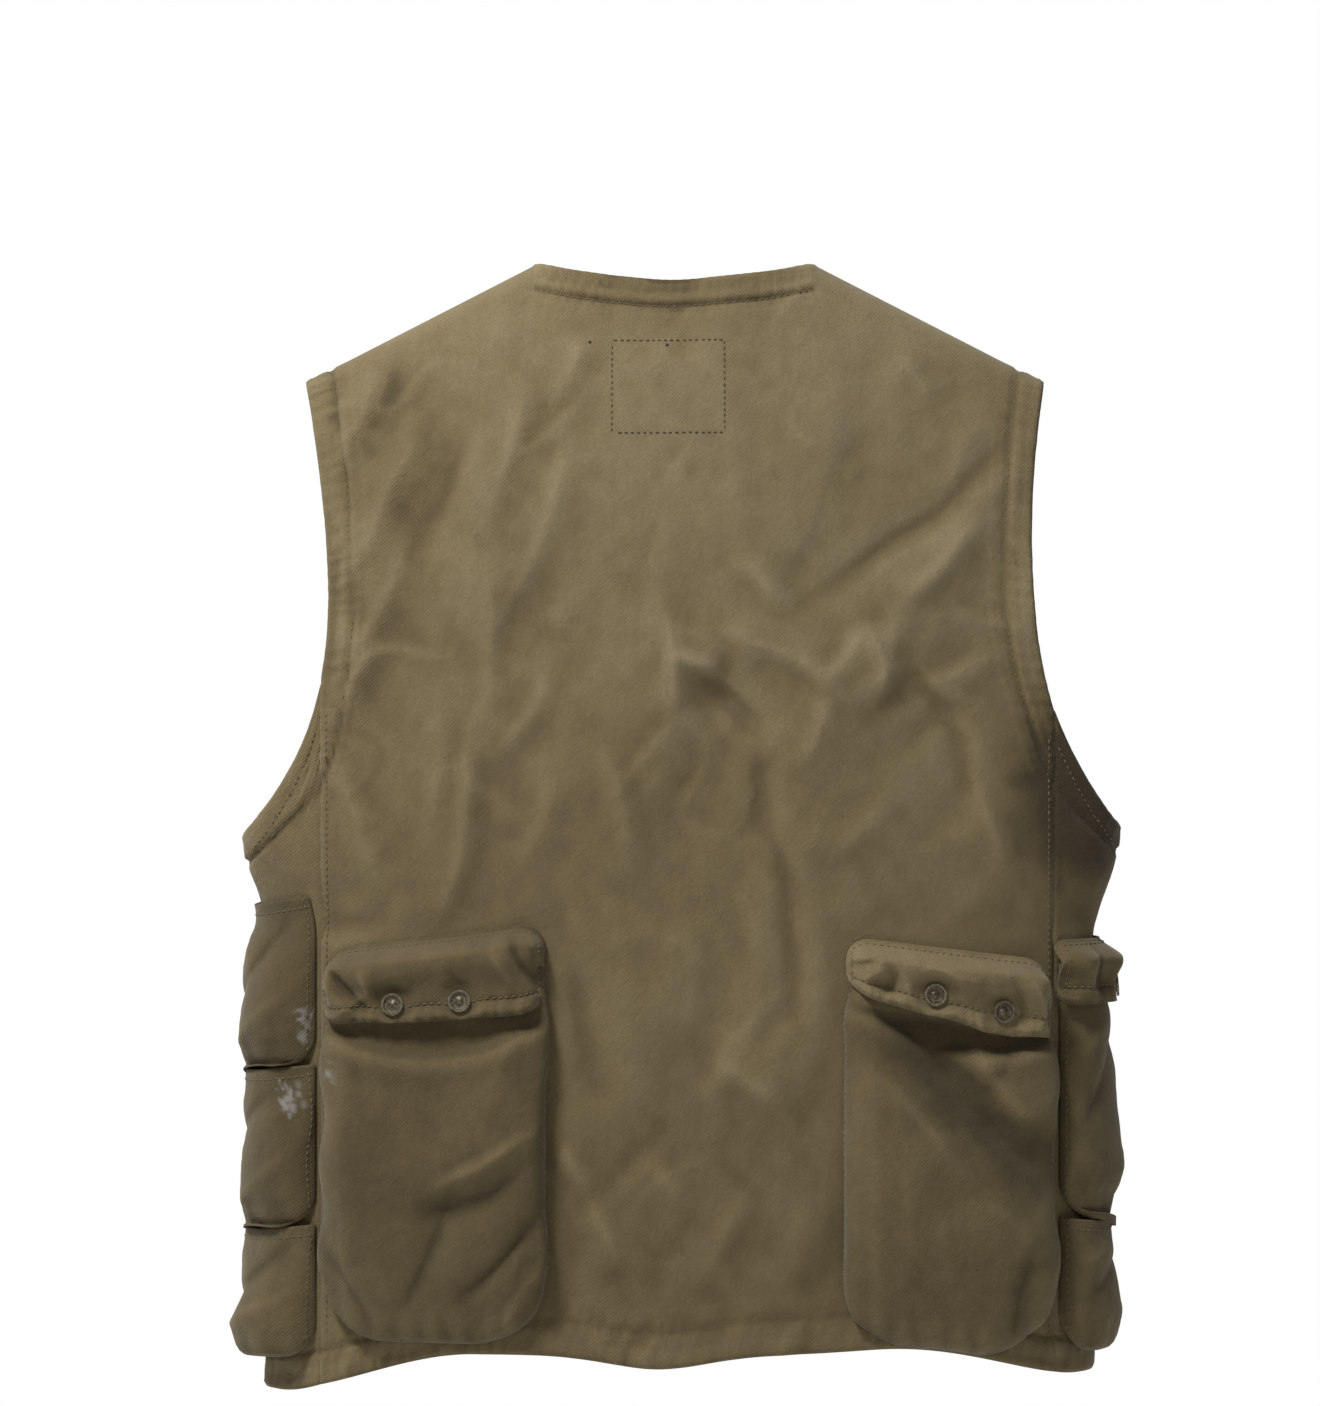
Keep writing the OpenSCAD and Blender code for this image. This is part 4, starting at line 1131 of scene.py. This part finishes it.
def make_pouch(name, body):
    """Pouch cloth: its bulge, folds, gathers at the bottom seam and overhanging walls."""
    p = POUCHES[name]
    side = name.startswith("side")
    flapped = name in FLAP_OVER and not side
    a, z, u, v, wide, tall = pouch_grid(name)
    across = np.sign(p.a1 - p.a0)
    from_side, from_low, down = np.minimum(u, 1.0 - u) * wide, (1.0 - v) * tall, v * tall
    edge = np.minimum(from_side, from_low)
    free = smooth(from_side / 12.0) * smooth(from_low / 12.0)
    flat = near_snaps(name, a, z)
    base = mix(pouch_shape(name, u, v), pouch_off(p, a, z, mouth_drop(name)), flat)
    seed = 31 + 7 * list(POUCHES).index(name)
    along = u * wide
    soft = noise(along / 26.0, down / 34.0, seed) * 1.3 + noise(along / 11.0, down / 13.0, seed + 1) * 0.35
    pleats = np.sin(2.0 * math.pi * (along + 3.0 * noise(u * 9.0, v * 9.0, seed + 2)) / 13.0)
    gather = bump(edge - 9.0, 7.0) * smooth((v - 0.55) / 0.4) * pleats * 0.45
    folds = local_folds(POUCH_FOLDS.get(name, SIDE_FOLDS if side else DEFAULT_FOLDS), wide, tall, u, v)
    height = (1.15 * folds + soft) * free + gather
    if side:
        height = height + 1.4 * smooth(edge / 8.0) * smooth((v - 0.3) / 0.5) * smooth((1.0 - v) * 5.0)
    else:
        height = height + 2.0 * smooth(edge / 14.0) * (1.0 - smooth(edge / 60.0))
    tone = POUCH_TONE.get(name, -0.06)
    if flapped:
        # The cloth sinks in under the flap, in a crescent, and is darkened there with a painted shadow of the
        # flap.
        flap = FLAP_OVER[name]
        ledge = mix(flap.tall0, flap.tall1, u) - MOUTH_DROP + 3.0 + CRESCENT * np.sin(math.pi * u) ** 0.8
        sunk = (1.0 - smooth((down - ledge + 3.0) / 7.0)) * smooth((down - 22.0) / 7.0)
        height = height - 3.8 * sunk * free + 1.5 * bump(down - ledge - 6.0, 6.0) * free
        tone = tone - 0.22 * sunk - 0.25 * bump(down - ledge + 2.0, 5.0) * free
        # Painted shade along the pocket's sewn edges.
        tone = tone - 0.3 * (1.0 - smooth(edge / 9.0))
    height = height * (1.0 - flat) + 0.12 * noise(along / 4.0, down / 4.0, seed + 3)
    off = np.maximum(base + height, CLOTH + 0.5 + 1.5 * smooth(edge / 5.0))
    if name in HANGS_OVER:
        below = POUCHES[HANGS_OVER[name]]
        deep = (below.top0 + 3.0 - z) / (below.top0 - below.low)
        under = pouch_shape(HANGS_OVER[name], pouch_u(below, a), np.clip(deep, 0.0, 1.0))
        off = np.maximum(off, mix(CLOTH, under + 1.8, smooth(deep * 12.0 + 0.6)))
    # The wall overhangs its seams.
    outward_by, reach, down_by = SIDE_OVERHANG if side else OVERHANG
    over = outward_by * (1.0 + 0.9 * noise(down / 26.0, np.round(u) * 3.0, seed + 8))
    out = np.where(u < 0.5, -1.0, 1.0) * over * np.sin(math.pi * np.clip(from_side / reach, 0.0, 1.0)) ** 0.8
    a = a + out * across / mm_across(p.place) * smooth(v / 0.12) * smooth((1.0 - v) * 9.0 + 0.2)
    if flapped:
        a = a + DRAWN_IN * (1.0 - smooth(down / 45.0)) * (1.0 - 2.0 * u) * across
    belly = np.sin(math.pi * np.clip(from_low / (reach * 1.4), 0.0, 1.0)) ** 0.8
    belly = down_by * belly * smooth(from_side / 12.0 + 0.3)
    z = z - belly * (1.0 + 0.5 * noise(along / 20.0, v * 2.0, seed + 9))
    plain, n = skin(p.place, a, z), outward(p.place, a, z)
    outer, inner = (plain + n * (off + half)[..., None] for half in (THICK / 2, -THICK / 2))
    tone = tone + crest_wear_and_valley_shade(height)
    darkest = DARKEST
    if name == "back_pocket_right":
        # Painted shade in the deep hollow folds of this pocket.
        tone = tone + 0.075 * np.minimum(folds, 0.0)
        darkest = DARKEST_FOLD
    tone = np.maximum(tone, darkest)
    obj = shell(name + "_cloth", outer, inner, tone, girth_run(p.place, a, z), z)
    note_cut(obj, plain + n * base[..., None])
    settle(obj, body, POCKET_CLOTH, [name])
    for column, shift in ((2, 0), (-3, -1)):
        stitch_line(body, outer[:, column], n[:, column], seed + shift)
    if not mouth_drop(name):
        stitch_line(body, mix(outer[3], outer[4], 0.5), n[3], seed + 5)


def flap_point(name, u, v):
    """Girth value, height and offset of a flap at shares u across and v down."""
    flap = FLAPS[name]
    p = POUCHES[flap.pouch]
    across = mm_across(p.place) * np.sign(p.a1 - p.a0)
    drawn = 0.0 if name.startswith("side") else DRAWN_IN
    wider = (flap.wider + 3.0 - (drawn + 0.5 if drawn else 0.0)) / across
    a = mix(p.a0 - wider, p.a1 + wider, u)
    seam = seam_of(p, pouch_u(p, a))
    z = seam - v * mix(flap.tall0, flap.tall1, u)
    cad = pouch_off(p, a, np.minimum(z, seam - MOUTH_DROP), MOUTH_DROP)
    reach = 1.0 - 2.0 * drawn / abs(p.a1 - p.a0)
    under = 0.0
    # The flap clears the highest cloth of the pouch a little way to either side.
    for shift in (-5.5, -2.5, 0.0, 2.5, 5.5):
        at = pouch_u(p, a + shift / across)
        top = seam_of(p, at) - MOUTH_DROP
        inside = (np.abs(2.0 * (a + shift / across - p.a0) / (p.a1 - p.a0) - 1.0) <= reach)
        down = np.clip((top - z) / (top - p.low), 0.0, 1.0)
        shape = pouch_shape(flap.pouch, 0.5 + (at - 0.5) / reach, down)
        under = np.maximum(under, np.where(inside, shape, POUCH_BASE))
    under = mix(under + 0.6, cad, near_snaps(flap.pouch, a, z))
    over = under + CLOTH + FLAP_CLEAR
    return a, z, mix(CLOTH + 0.8, over, smooth((seam - z) / (MOUTH_DROP - 2.0)))


# Folds on a flap: u and v at both ends, width, height and steepness, as for the pouches.
FLAP_FOLDS = {
    "back_flap_left": [
        (0.0, 0.35, 0.15, 0.88, 5, 3.4, 0.6), (0.05, 0.2, 0.22, 0.85, 3.5, -3.6, 0.8),
        (0.2, 0.26, 0.29, 0.95, 4, 3.2, 1.6), (0.08, 0.95, 0.22, 0.62, 4, 2.6, 1.4),
        (0.34, 0.45, 0.36, 1.0, 4, -1.6, 1.2), (0.84, 0.05, 0.97, 0.75, 4.5, -3.4, 1.6),
        (0.76, 0.08, 0.9, 0.8, 5, 2.6, 2.0), (0.92, 0.02, 1.0, 0.5, 4, 2.0, 1.0),
        (0.4, 0.25, 0.74, 0.22, 6, 1.6, 0.7), (0.6, 0.35, 0.66, 0.85, 4, -1.0, 1.2),
    ],
    "back_flap_right": [
        (0.0, 0.45, 0.14, 0.3, 4, -2.6, 1.4), (0.04, 0.85, 0.18, 0.4, 4.5, 2.6, 1.4),
        (0.14, 0.95, 0.24, 0.35, 3.5, -2.2, 1.2), (0.24, 0.35, 0.3, 0.85, 5, 1.8, 1.2),
        (0.78, 0.3, 0.84, 0.95, 4, -2.8, 1.4), (0.86, 0.25, 0.95, 0.9, 4.5, 2.8, 0.7),
        (0.94, 0.3, 1.0, 0.9, 3.5, -2.2, 1.0), (0.34, 0.28, 0.72, 0.34, 6, 1.6, 0.7),
        (0.52, 0.4, 0.56, 0.9, 4, -1.0, 1.2),
    ],
    "side_flap_right": [
        (0.28, 0.05, 0.3, 0.95, 4, -3.2, 1.2), (0.46, 0.1, 0.44, 0.95, 4, 2.2, 1.6),
        (0.62, 0.1, 0.66, 0.9, 4, -1.8, 1.0), (0.1, 0.3, 0.2, 0.9, 4, 1.8, 1.0),
    ],
}
PLAIN_FLAP = [(0.02, 0.3, 0.16, 0.85, 4, 2.0, 0.6), (0.1, 0.2, 0.24, 0.8, 4, -2.0, 1.0),
              (0.86, 0.1, 0.96, 0.8, 4, -2.4, 1.4), (0.78, 0.15, 0.88, 0.8, 5, 2.0, 1.6)]


# Flaps of the darker pocket cloth, and how much darker still; the others are of body cloth.
FLAP_TONE = {"back_flap_left": -0.12, "side_flap_right": -0.1}
FLAP_THICK = 1.3
# Height of the stitched band along a flap's lower edge.
FLAP_BAND = 8.2


def make_flap(name, body):
    """Flap: rolled over at its top, stitched and puckered along its lower edge, flat at its snaps."""
    flap = FLAPS[name]
    p = POUCHES[flap.pouch]
    side = name.startswith("side")
    wide = abs(p.a1 - p.a0) * mm_across(p.place) + 2 * flap.wider + (6.0 if side else 5.0 - 2.0 * DRAWN_IN)
    tall = (flap.tall0 + flap.tall1) / 2.0
    columns, rows = int(wide / FLAP_GRID), int(tall / FLAP_GRID)
    u, v = np.broadcast_arrays(np.linspace(0.0, 1.0, columns + 1), np.linspace(0.0, 1.0, rows + 1)[:, None])
    a, z, off = flap_point(name, u, v)
    along, down, from_low, from_end = u * wide, v * tall, (1.0 - v) * tall, np.minimum(u, 1.0 - u) * wide
    ends = 1.0 - np.clip(from_end / (6.0 if side else 13.0), 0.0, 1.0)
    round_end = (1.0 - np.sqrt(1.0 - ends ** 2)) * (5.0 if side else 12.0)
    pointed = (name == "back_flap_right") & (u > 0.5)
    z = z - round_end * (1.0 - v) ** 1.3 + np.where(pointed, 0.0, 0.7) * round_end * v ** 1.5
    z = z - (0.0 if side else 2.5) * np.sin(math.pi * u) * v
    seed = 131 + 9 * list(FLAPS).index(name)
    turn_in = (1.0 - smooth(from_end / 7.0)) * smooth(v / 0.3) * (1.5 if side else 5.5)
    top_roll = bump(down - 0.32 * tall, 0.24 * tall)
    wrinkle = noise(along / 13.0, down / 16.0, seed) * 1.2 + noise(along / 5.0, down / 8.0, seed + 1) * 0.3
    upper = smooth((from_low - 8.0) / 5.0)
    band = smooth((7.5 - from_low) / 1.5) * 0.35 - 0.7 * bump(from_low - FLAP_BAND, 1.0)
    ropes = np.sin(2.0 * math.pi * along / 6.4 + 2.0 * noise(along / 9.0, 0 * along, seed + 2))
    height = (4.6 * top_roll + wrinkle * smooth(v * 4.0)) * upper - 1.2 * smooth((3.0 - from_low) / 3.0)
    height = height + (0.0 if side else 1.6) * bump(from_low - 3.5, 4.5) + 1.3 * wrinkle * (1.0 - upper)
    folds = local_folds(FLAP_FOLDS.get(name, PLAIN_FLAP), wide, tall, u, v, 1.5)
    height = height + 1.25 * folds * smooth(v / 0.12)
    loose = 1.0 - near_snaps(flap.pouch, a, z, 8.5)
    height = (height + band + 0.22 * ropes * smooth((9.0 - from_low) / 3.0)) * loose
    out = np.maximum(np.maximum(off + height - turn_in * loose, CLOTH + 1.4), off - 2.2)
    plain, n = skin(p.place, a, z), outward(p.place, a, z)
    points = plain + n * out[..., None]
    points[..., 2] -= 1.6 * noise(along / 24.0, 0 * along, seed + 4) * smooth((v - 0.4) / 0.6) * loose
    half = n * FLAP_THICK / 2
    tone = crest_wear_and_valley_shade(height) + FLAP_TONE.get(name, 0.06)
    obj = shell(name + "_cloth", points + half, points - half, tone, girth_run(p.place, a, z), z)
    note_cut(obj, plain + n * off[..., None])
    settle(obj, body, POCKET_CLOTH if name in FLAP_TONE else BODY_CLOTH, [name])
    surface = points + n * (FLAP_THICK / 2 + 0.12)
    low = int(rows * (1.0 - FLAP_BAND / tall))
    stitch_line(body, surface[low, 3:-3], n[low, 3:-3], seed)
    for column in (3, -4):
        stitch_line(body, surface[4:-3, column], n[4:-3, column], seed + column)
    stitch_line(body, surface[3, 3:-3], n[3, 3:-3], seed + 6)


# ---------- topstitching ----------


def stitch_on(body, place, a, z, seed, **kind):
    """Stitches along a line on the finished cloth."""
    (path,), n, _ = on_cloth(place, a, z, (THICK / 2 + 0.1,))
    stitch_line(body, path, n, seed, **kind)


def steepness(line, at, step):
    """How much longer an edge is than its run, where it slants."""
    slope = (line(at + step) - line(at - step)) / (2.0 * step)
    return np.sqrt(1.0 + slope ** 2)


def topstitch():
    """Stitching along the neck, armholes, hem, back seams and front edges."""
    x = np.linspace(NECK_HALF - 2, -(NECK_HALF - 2), 160)
    stitch_on("body", "back", x, neck_z(x, 1) - FACING_STITCH, 41)
    for s in (LEFT, RIGHT):
        side = name_of(s)
        for place, seam, seed in (("back", BACK_SEAM[s], 42), ("front", FRONT_SEAM, 43)):
            z = np.linspace(-SHOULDER_DROP - 1, float(armhole_z(s, seam)) - 8, 260)
            inset = FACING_STITCH * steepness(lambda z: armhole_x(s, z), z, 1.0)
            stitch_on("body", place, s * (armhole_x(s, z) - inset), z, seed)
        for level, edge, seed in ((SIDE_LEVEL, lambda x: armhole_z(s, x) - FACING_STITCH, 44),
                                  (-BODY_HEIGHT, lambda x: hem_z(s * x, 1) + HEM_STITCH, 45)):
            front, back = seam_angles(s, level)
            phi = np.linspace(front + 1, back - 1, 160)
            stitch_on("body", side, phi, edge(side_x(s, phi, level)), seed)
        z = np.linspace(float(armhole_z(s, BACK_SEAM[s])) - 14, -BODY_HEIGHT + 6, 260)
        stitch_on("body", "back", s * (BACK_SEAM[s] - 3.0), z, 46)
        x = s * np.linspace(FRONT_EDGE + 2, FOLD_TOP - 6, 90)
        inset = FACING_STITCH * steepness(lambda x: neck_z(x, -1), x, 0.5)
        stitch_on("front_" + side, "front", x, neck_z(x, -1) - inset, 47)
        for body, start, end, count, seed in (("front_" + side, FRONT_EDGE + 2, FOLD_LOW - 20, 200, 48),
                                              ("body", FOLD_LOW + 8, FRONT_SEAM - 1, 20, 52)):
            x = s * np.linspace(start, end, count)
            stitch_on(body, "front", x, hem_z(x, -1) + HEM_STITCH, seed)
        z = np.linspace(-FRONT_NECK_DROP - 6, -BODY_HEIGHT - 8, 260)
        for inset, seed in ((2.0, 49), (9.0, 50)):
            stitch_on("front_" + side, "front", s * (FRONT_EDGE + inset), z, seed)
    x = np.linspace(BACK_SEAM[LEFT] - 1, -BACK_SEAM[RIGHT] + 1, 420)
    stitch_on("body", "back", x, hem_z(x, 1) + HEM_STITCH, 51)


def label_stitching():
    """Rectangle where the inside label is sewn through, in dark uneven thread, and two loose ends."""
    (left, right), (top, low) = LABEL_X, LABEL_Z
    corners = [(left, top), (right, top), (right, low), (left, low), (left, top)]
    for k, (start, end) in enumerate(zip(corners, corners[1:])):
        x, z = (np.linspace(start[i], end[i], 60) for i in (0, 1))
        stitch_on("label", "back", x, z, 61 + k, length=2.0, gap=1.2, width=0.3)
    for x, z in ((42.0, -42.0), (3.5, -43.5)):
        stitch_on("label", "back", x + np.linspace(2, -2, 8), z + 0.3 * np.arange(8) / 8, 70,
                  length=1.6, gap=0.3, width=0.55)


# ---------- snaps ----------

# Dished cap of a snap: the radius of each ring and its height over the socket.
CAP = [(0.1, 0.95), (1.1, 0.9), (1.5, 0.6), (1.9, 0.25), (3.2, 0.15), (4.2, 0.45)]
CAP_SIDES = 32


def pouch_wall(name, a, z):
    """Point of the CAD's pouch wall."""
    p = POUCHES[name]
    a, z = np.array(a), np.array(z)
    return skin(p.place, a, z) + outward(p.place, a, z) * pouch_off(p, a, z, MOUTH_DROP)


def make_snap_centre(name, flap, x, height):
    """Dark dished cap inside a snap's ring."""
    step = 2.0 * STEP
    across, up = (pouch_wall(flap.pouch, x + i * step, height + j * step)
                  - pouch_wall(flap.pouch, x - i * step, height - j * step) for i, j in ((1, 0), (0, 1)))
    n = TURN[POUCHES[flap.pouch].place] * np.cross(across, up)
    n /= np.linalg.norm(n)
    across = np.cross([0, 0, 1], n)
    across /= np.linalg.norm(across)
    up = np.cross(n, across)
    turn = np.linspace(0, 2 * math.pi, CAP_SIDES + 1)[None, :-1]
    radius, rise = (np.array(values)[:, None] for values in zip(*CAP))
    rise = rise + CLOTH * 1.5 + FLAP_CLEAR + 0.1
    points = pouch_wall(flap.pouch, x, height) + (radius * np.cos(turn))[..., None] * across + (
        radius * np.sin(turn))[..., None] * up + (rise + 0 * turn)[..., None] * n
    index = np.arange(len(CAP) * CAP_SIDES).reshape(len(CAP), CAP_SIDES)
    after = np.roll(index, -1, 1)
    quads = np.stack([index[:-1], index[1:], after[1:], after[:-1]], -1).reshape(-1, 4)
    obj = mesh_object(name, points, quads)
    obj.data.materials.append(CENTRE_METAL)
    return obj


make_back_panel()
for side in (LEFT, RIGHT):
    make_front_panel(side)
    make_side_panel(side)
    make_shoulder_seam(side)
make_facings()
for pouch_name in POUCHES:
    side = pouch_name.rsplit("_", 1)[1]
    make_pouch(pouch_name, "front_" + side if pouch_name.startswith("front") else "body")
for flap_name in FLAPS:
    make_flap(flap_name, flap_name + "_body")
topstitch()
label_stitching()
for flap_name, flap in FLAPS.items():
    for k, place in enumerate(SNAPS[flap.pouch]):
        cap = make_snap_centre(f"snap_centre_{flap_name}_{k}", flap, *place)
        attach(cap, flap_name + "_body")
for stitched_body in STITCHES:
    thread = build_stitches(stitched_body, DARK_THREAD if stitched_body == "label" else THREAD)
    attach(thread, "body" if stitched_body == "label" else stitched_body)

METALS = {"snap_ring": RING_METAL, "snap_stud": STUD_METAL, "zip_metal": ZIP_METAL,
          "zip_slider_metal": SLIDER_METAL, "zip_tape": TAPE_CLOTH}
for part in frame["record"]["subparts"]:
    if part["material_slot"] in METALS:
        node = frame["nodes"][part["node"]]
        node.data.materials.clear()
        node.data.materials.append(METALS[part["material_slot"]])

# ---------- stage ----------


def make_stage():
    """Pale floor well below the hanging vest, and soft light from all round."""
    half, low = 2.2, -1.2
    mesh = bpy.data.meshes.new("floor")
    corners = [(x * half, y * half, low) for x, y in ((-1, -1), (1, -1), (1, 1), (-1, 1))]
    mesh.from_pydata(corners, [], [(0, 1, 2, 3)])
    floor = bpy.data.objects.new("floor", mesh)
    bpy.context.scene.collection.objects.link(floor)
    material, _, _ = principled("floor", Base_Color=(0.95, 0.95, 0.94, 1.0), Roughness=0.9)
    floor.data.materials.append(material)
    world = bpy.data.worlds.new("studio")
    bpy.context.scene.world = world
    world.use_nodes = True
    tree = world.node_tree
    # Bright beyond the object as the camera sees it, and dim behind the camera.
    split = new_node(tree, "ShaderNodeSeparateXYZ", new_node(tree, "ShaderNodeTexCoord").outputs["Generated"])
    turned = math_node(tree, "MULTIPLY", split.outputs["Y"], 0.42)
    turned = math_node(tree, "ADD", sum_of(tree, turned, (split.outputs["X"], -0.18)), 0.5)
    sky = ramp(tree, turned, [(0.2, grey(1.0)), (0.42, (0.5, 0.5, 0.505)), (0.66, (0.2, 0.2, 0.205))])
    tree.links.new(sky, tree.nodes["Background"].inputs["Color"])


def make_light(name, place, size, power):
    """Round lamp that points at the middle of the object."""
    data = bpy.data.lights.new(name, "AREA")
    data.shape = "DISK"
    data.size = size
    data.energy = power
    light = bpy.data.objects.new(name, data)
    bpy.context.scene.collection.objects.link(light)
    light.location = place
    aim = np.array((0.0, 0.0, -0.2)) - np.array(place)
    light.rotation_euler = Vector(aim).to_track_quat("-Z", "Y").to_euler()


def make_camera():
    """Level camera behind the vest, which takes in a given height at its distance."""
    distance, view_height, sensor = 2.1, 0.703, 24.0
    data = bpy.data.cameras.new("camera")
    data.sensor_fit = "VERTICAL"
    data.sensor_height = sensor
    data.lens = sensor * distance / view_height
    camera = bpy.data.objects.new("camera", data)
    bpy.context.scene.collection.objects.link(camera)
    camera.location = (0.0075, distance + 0.035, -0.2225)
    camera.rotation_euler = (math.radians(90.0), 0.0, math.radians(180.0))
    bpy.context.scene.camera = camera


make_stage()
make_light("key", (0.85, 1.05, 1.45), 0.55, 55.0)
make_light("fill", (-0.5, 2.6, 0.3), 1.6, 5.0)
make_camera()
bpy.context.scene.view_settings.view_transform = "Standard"
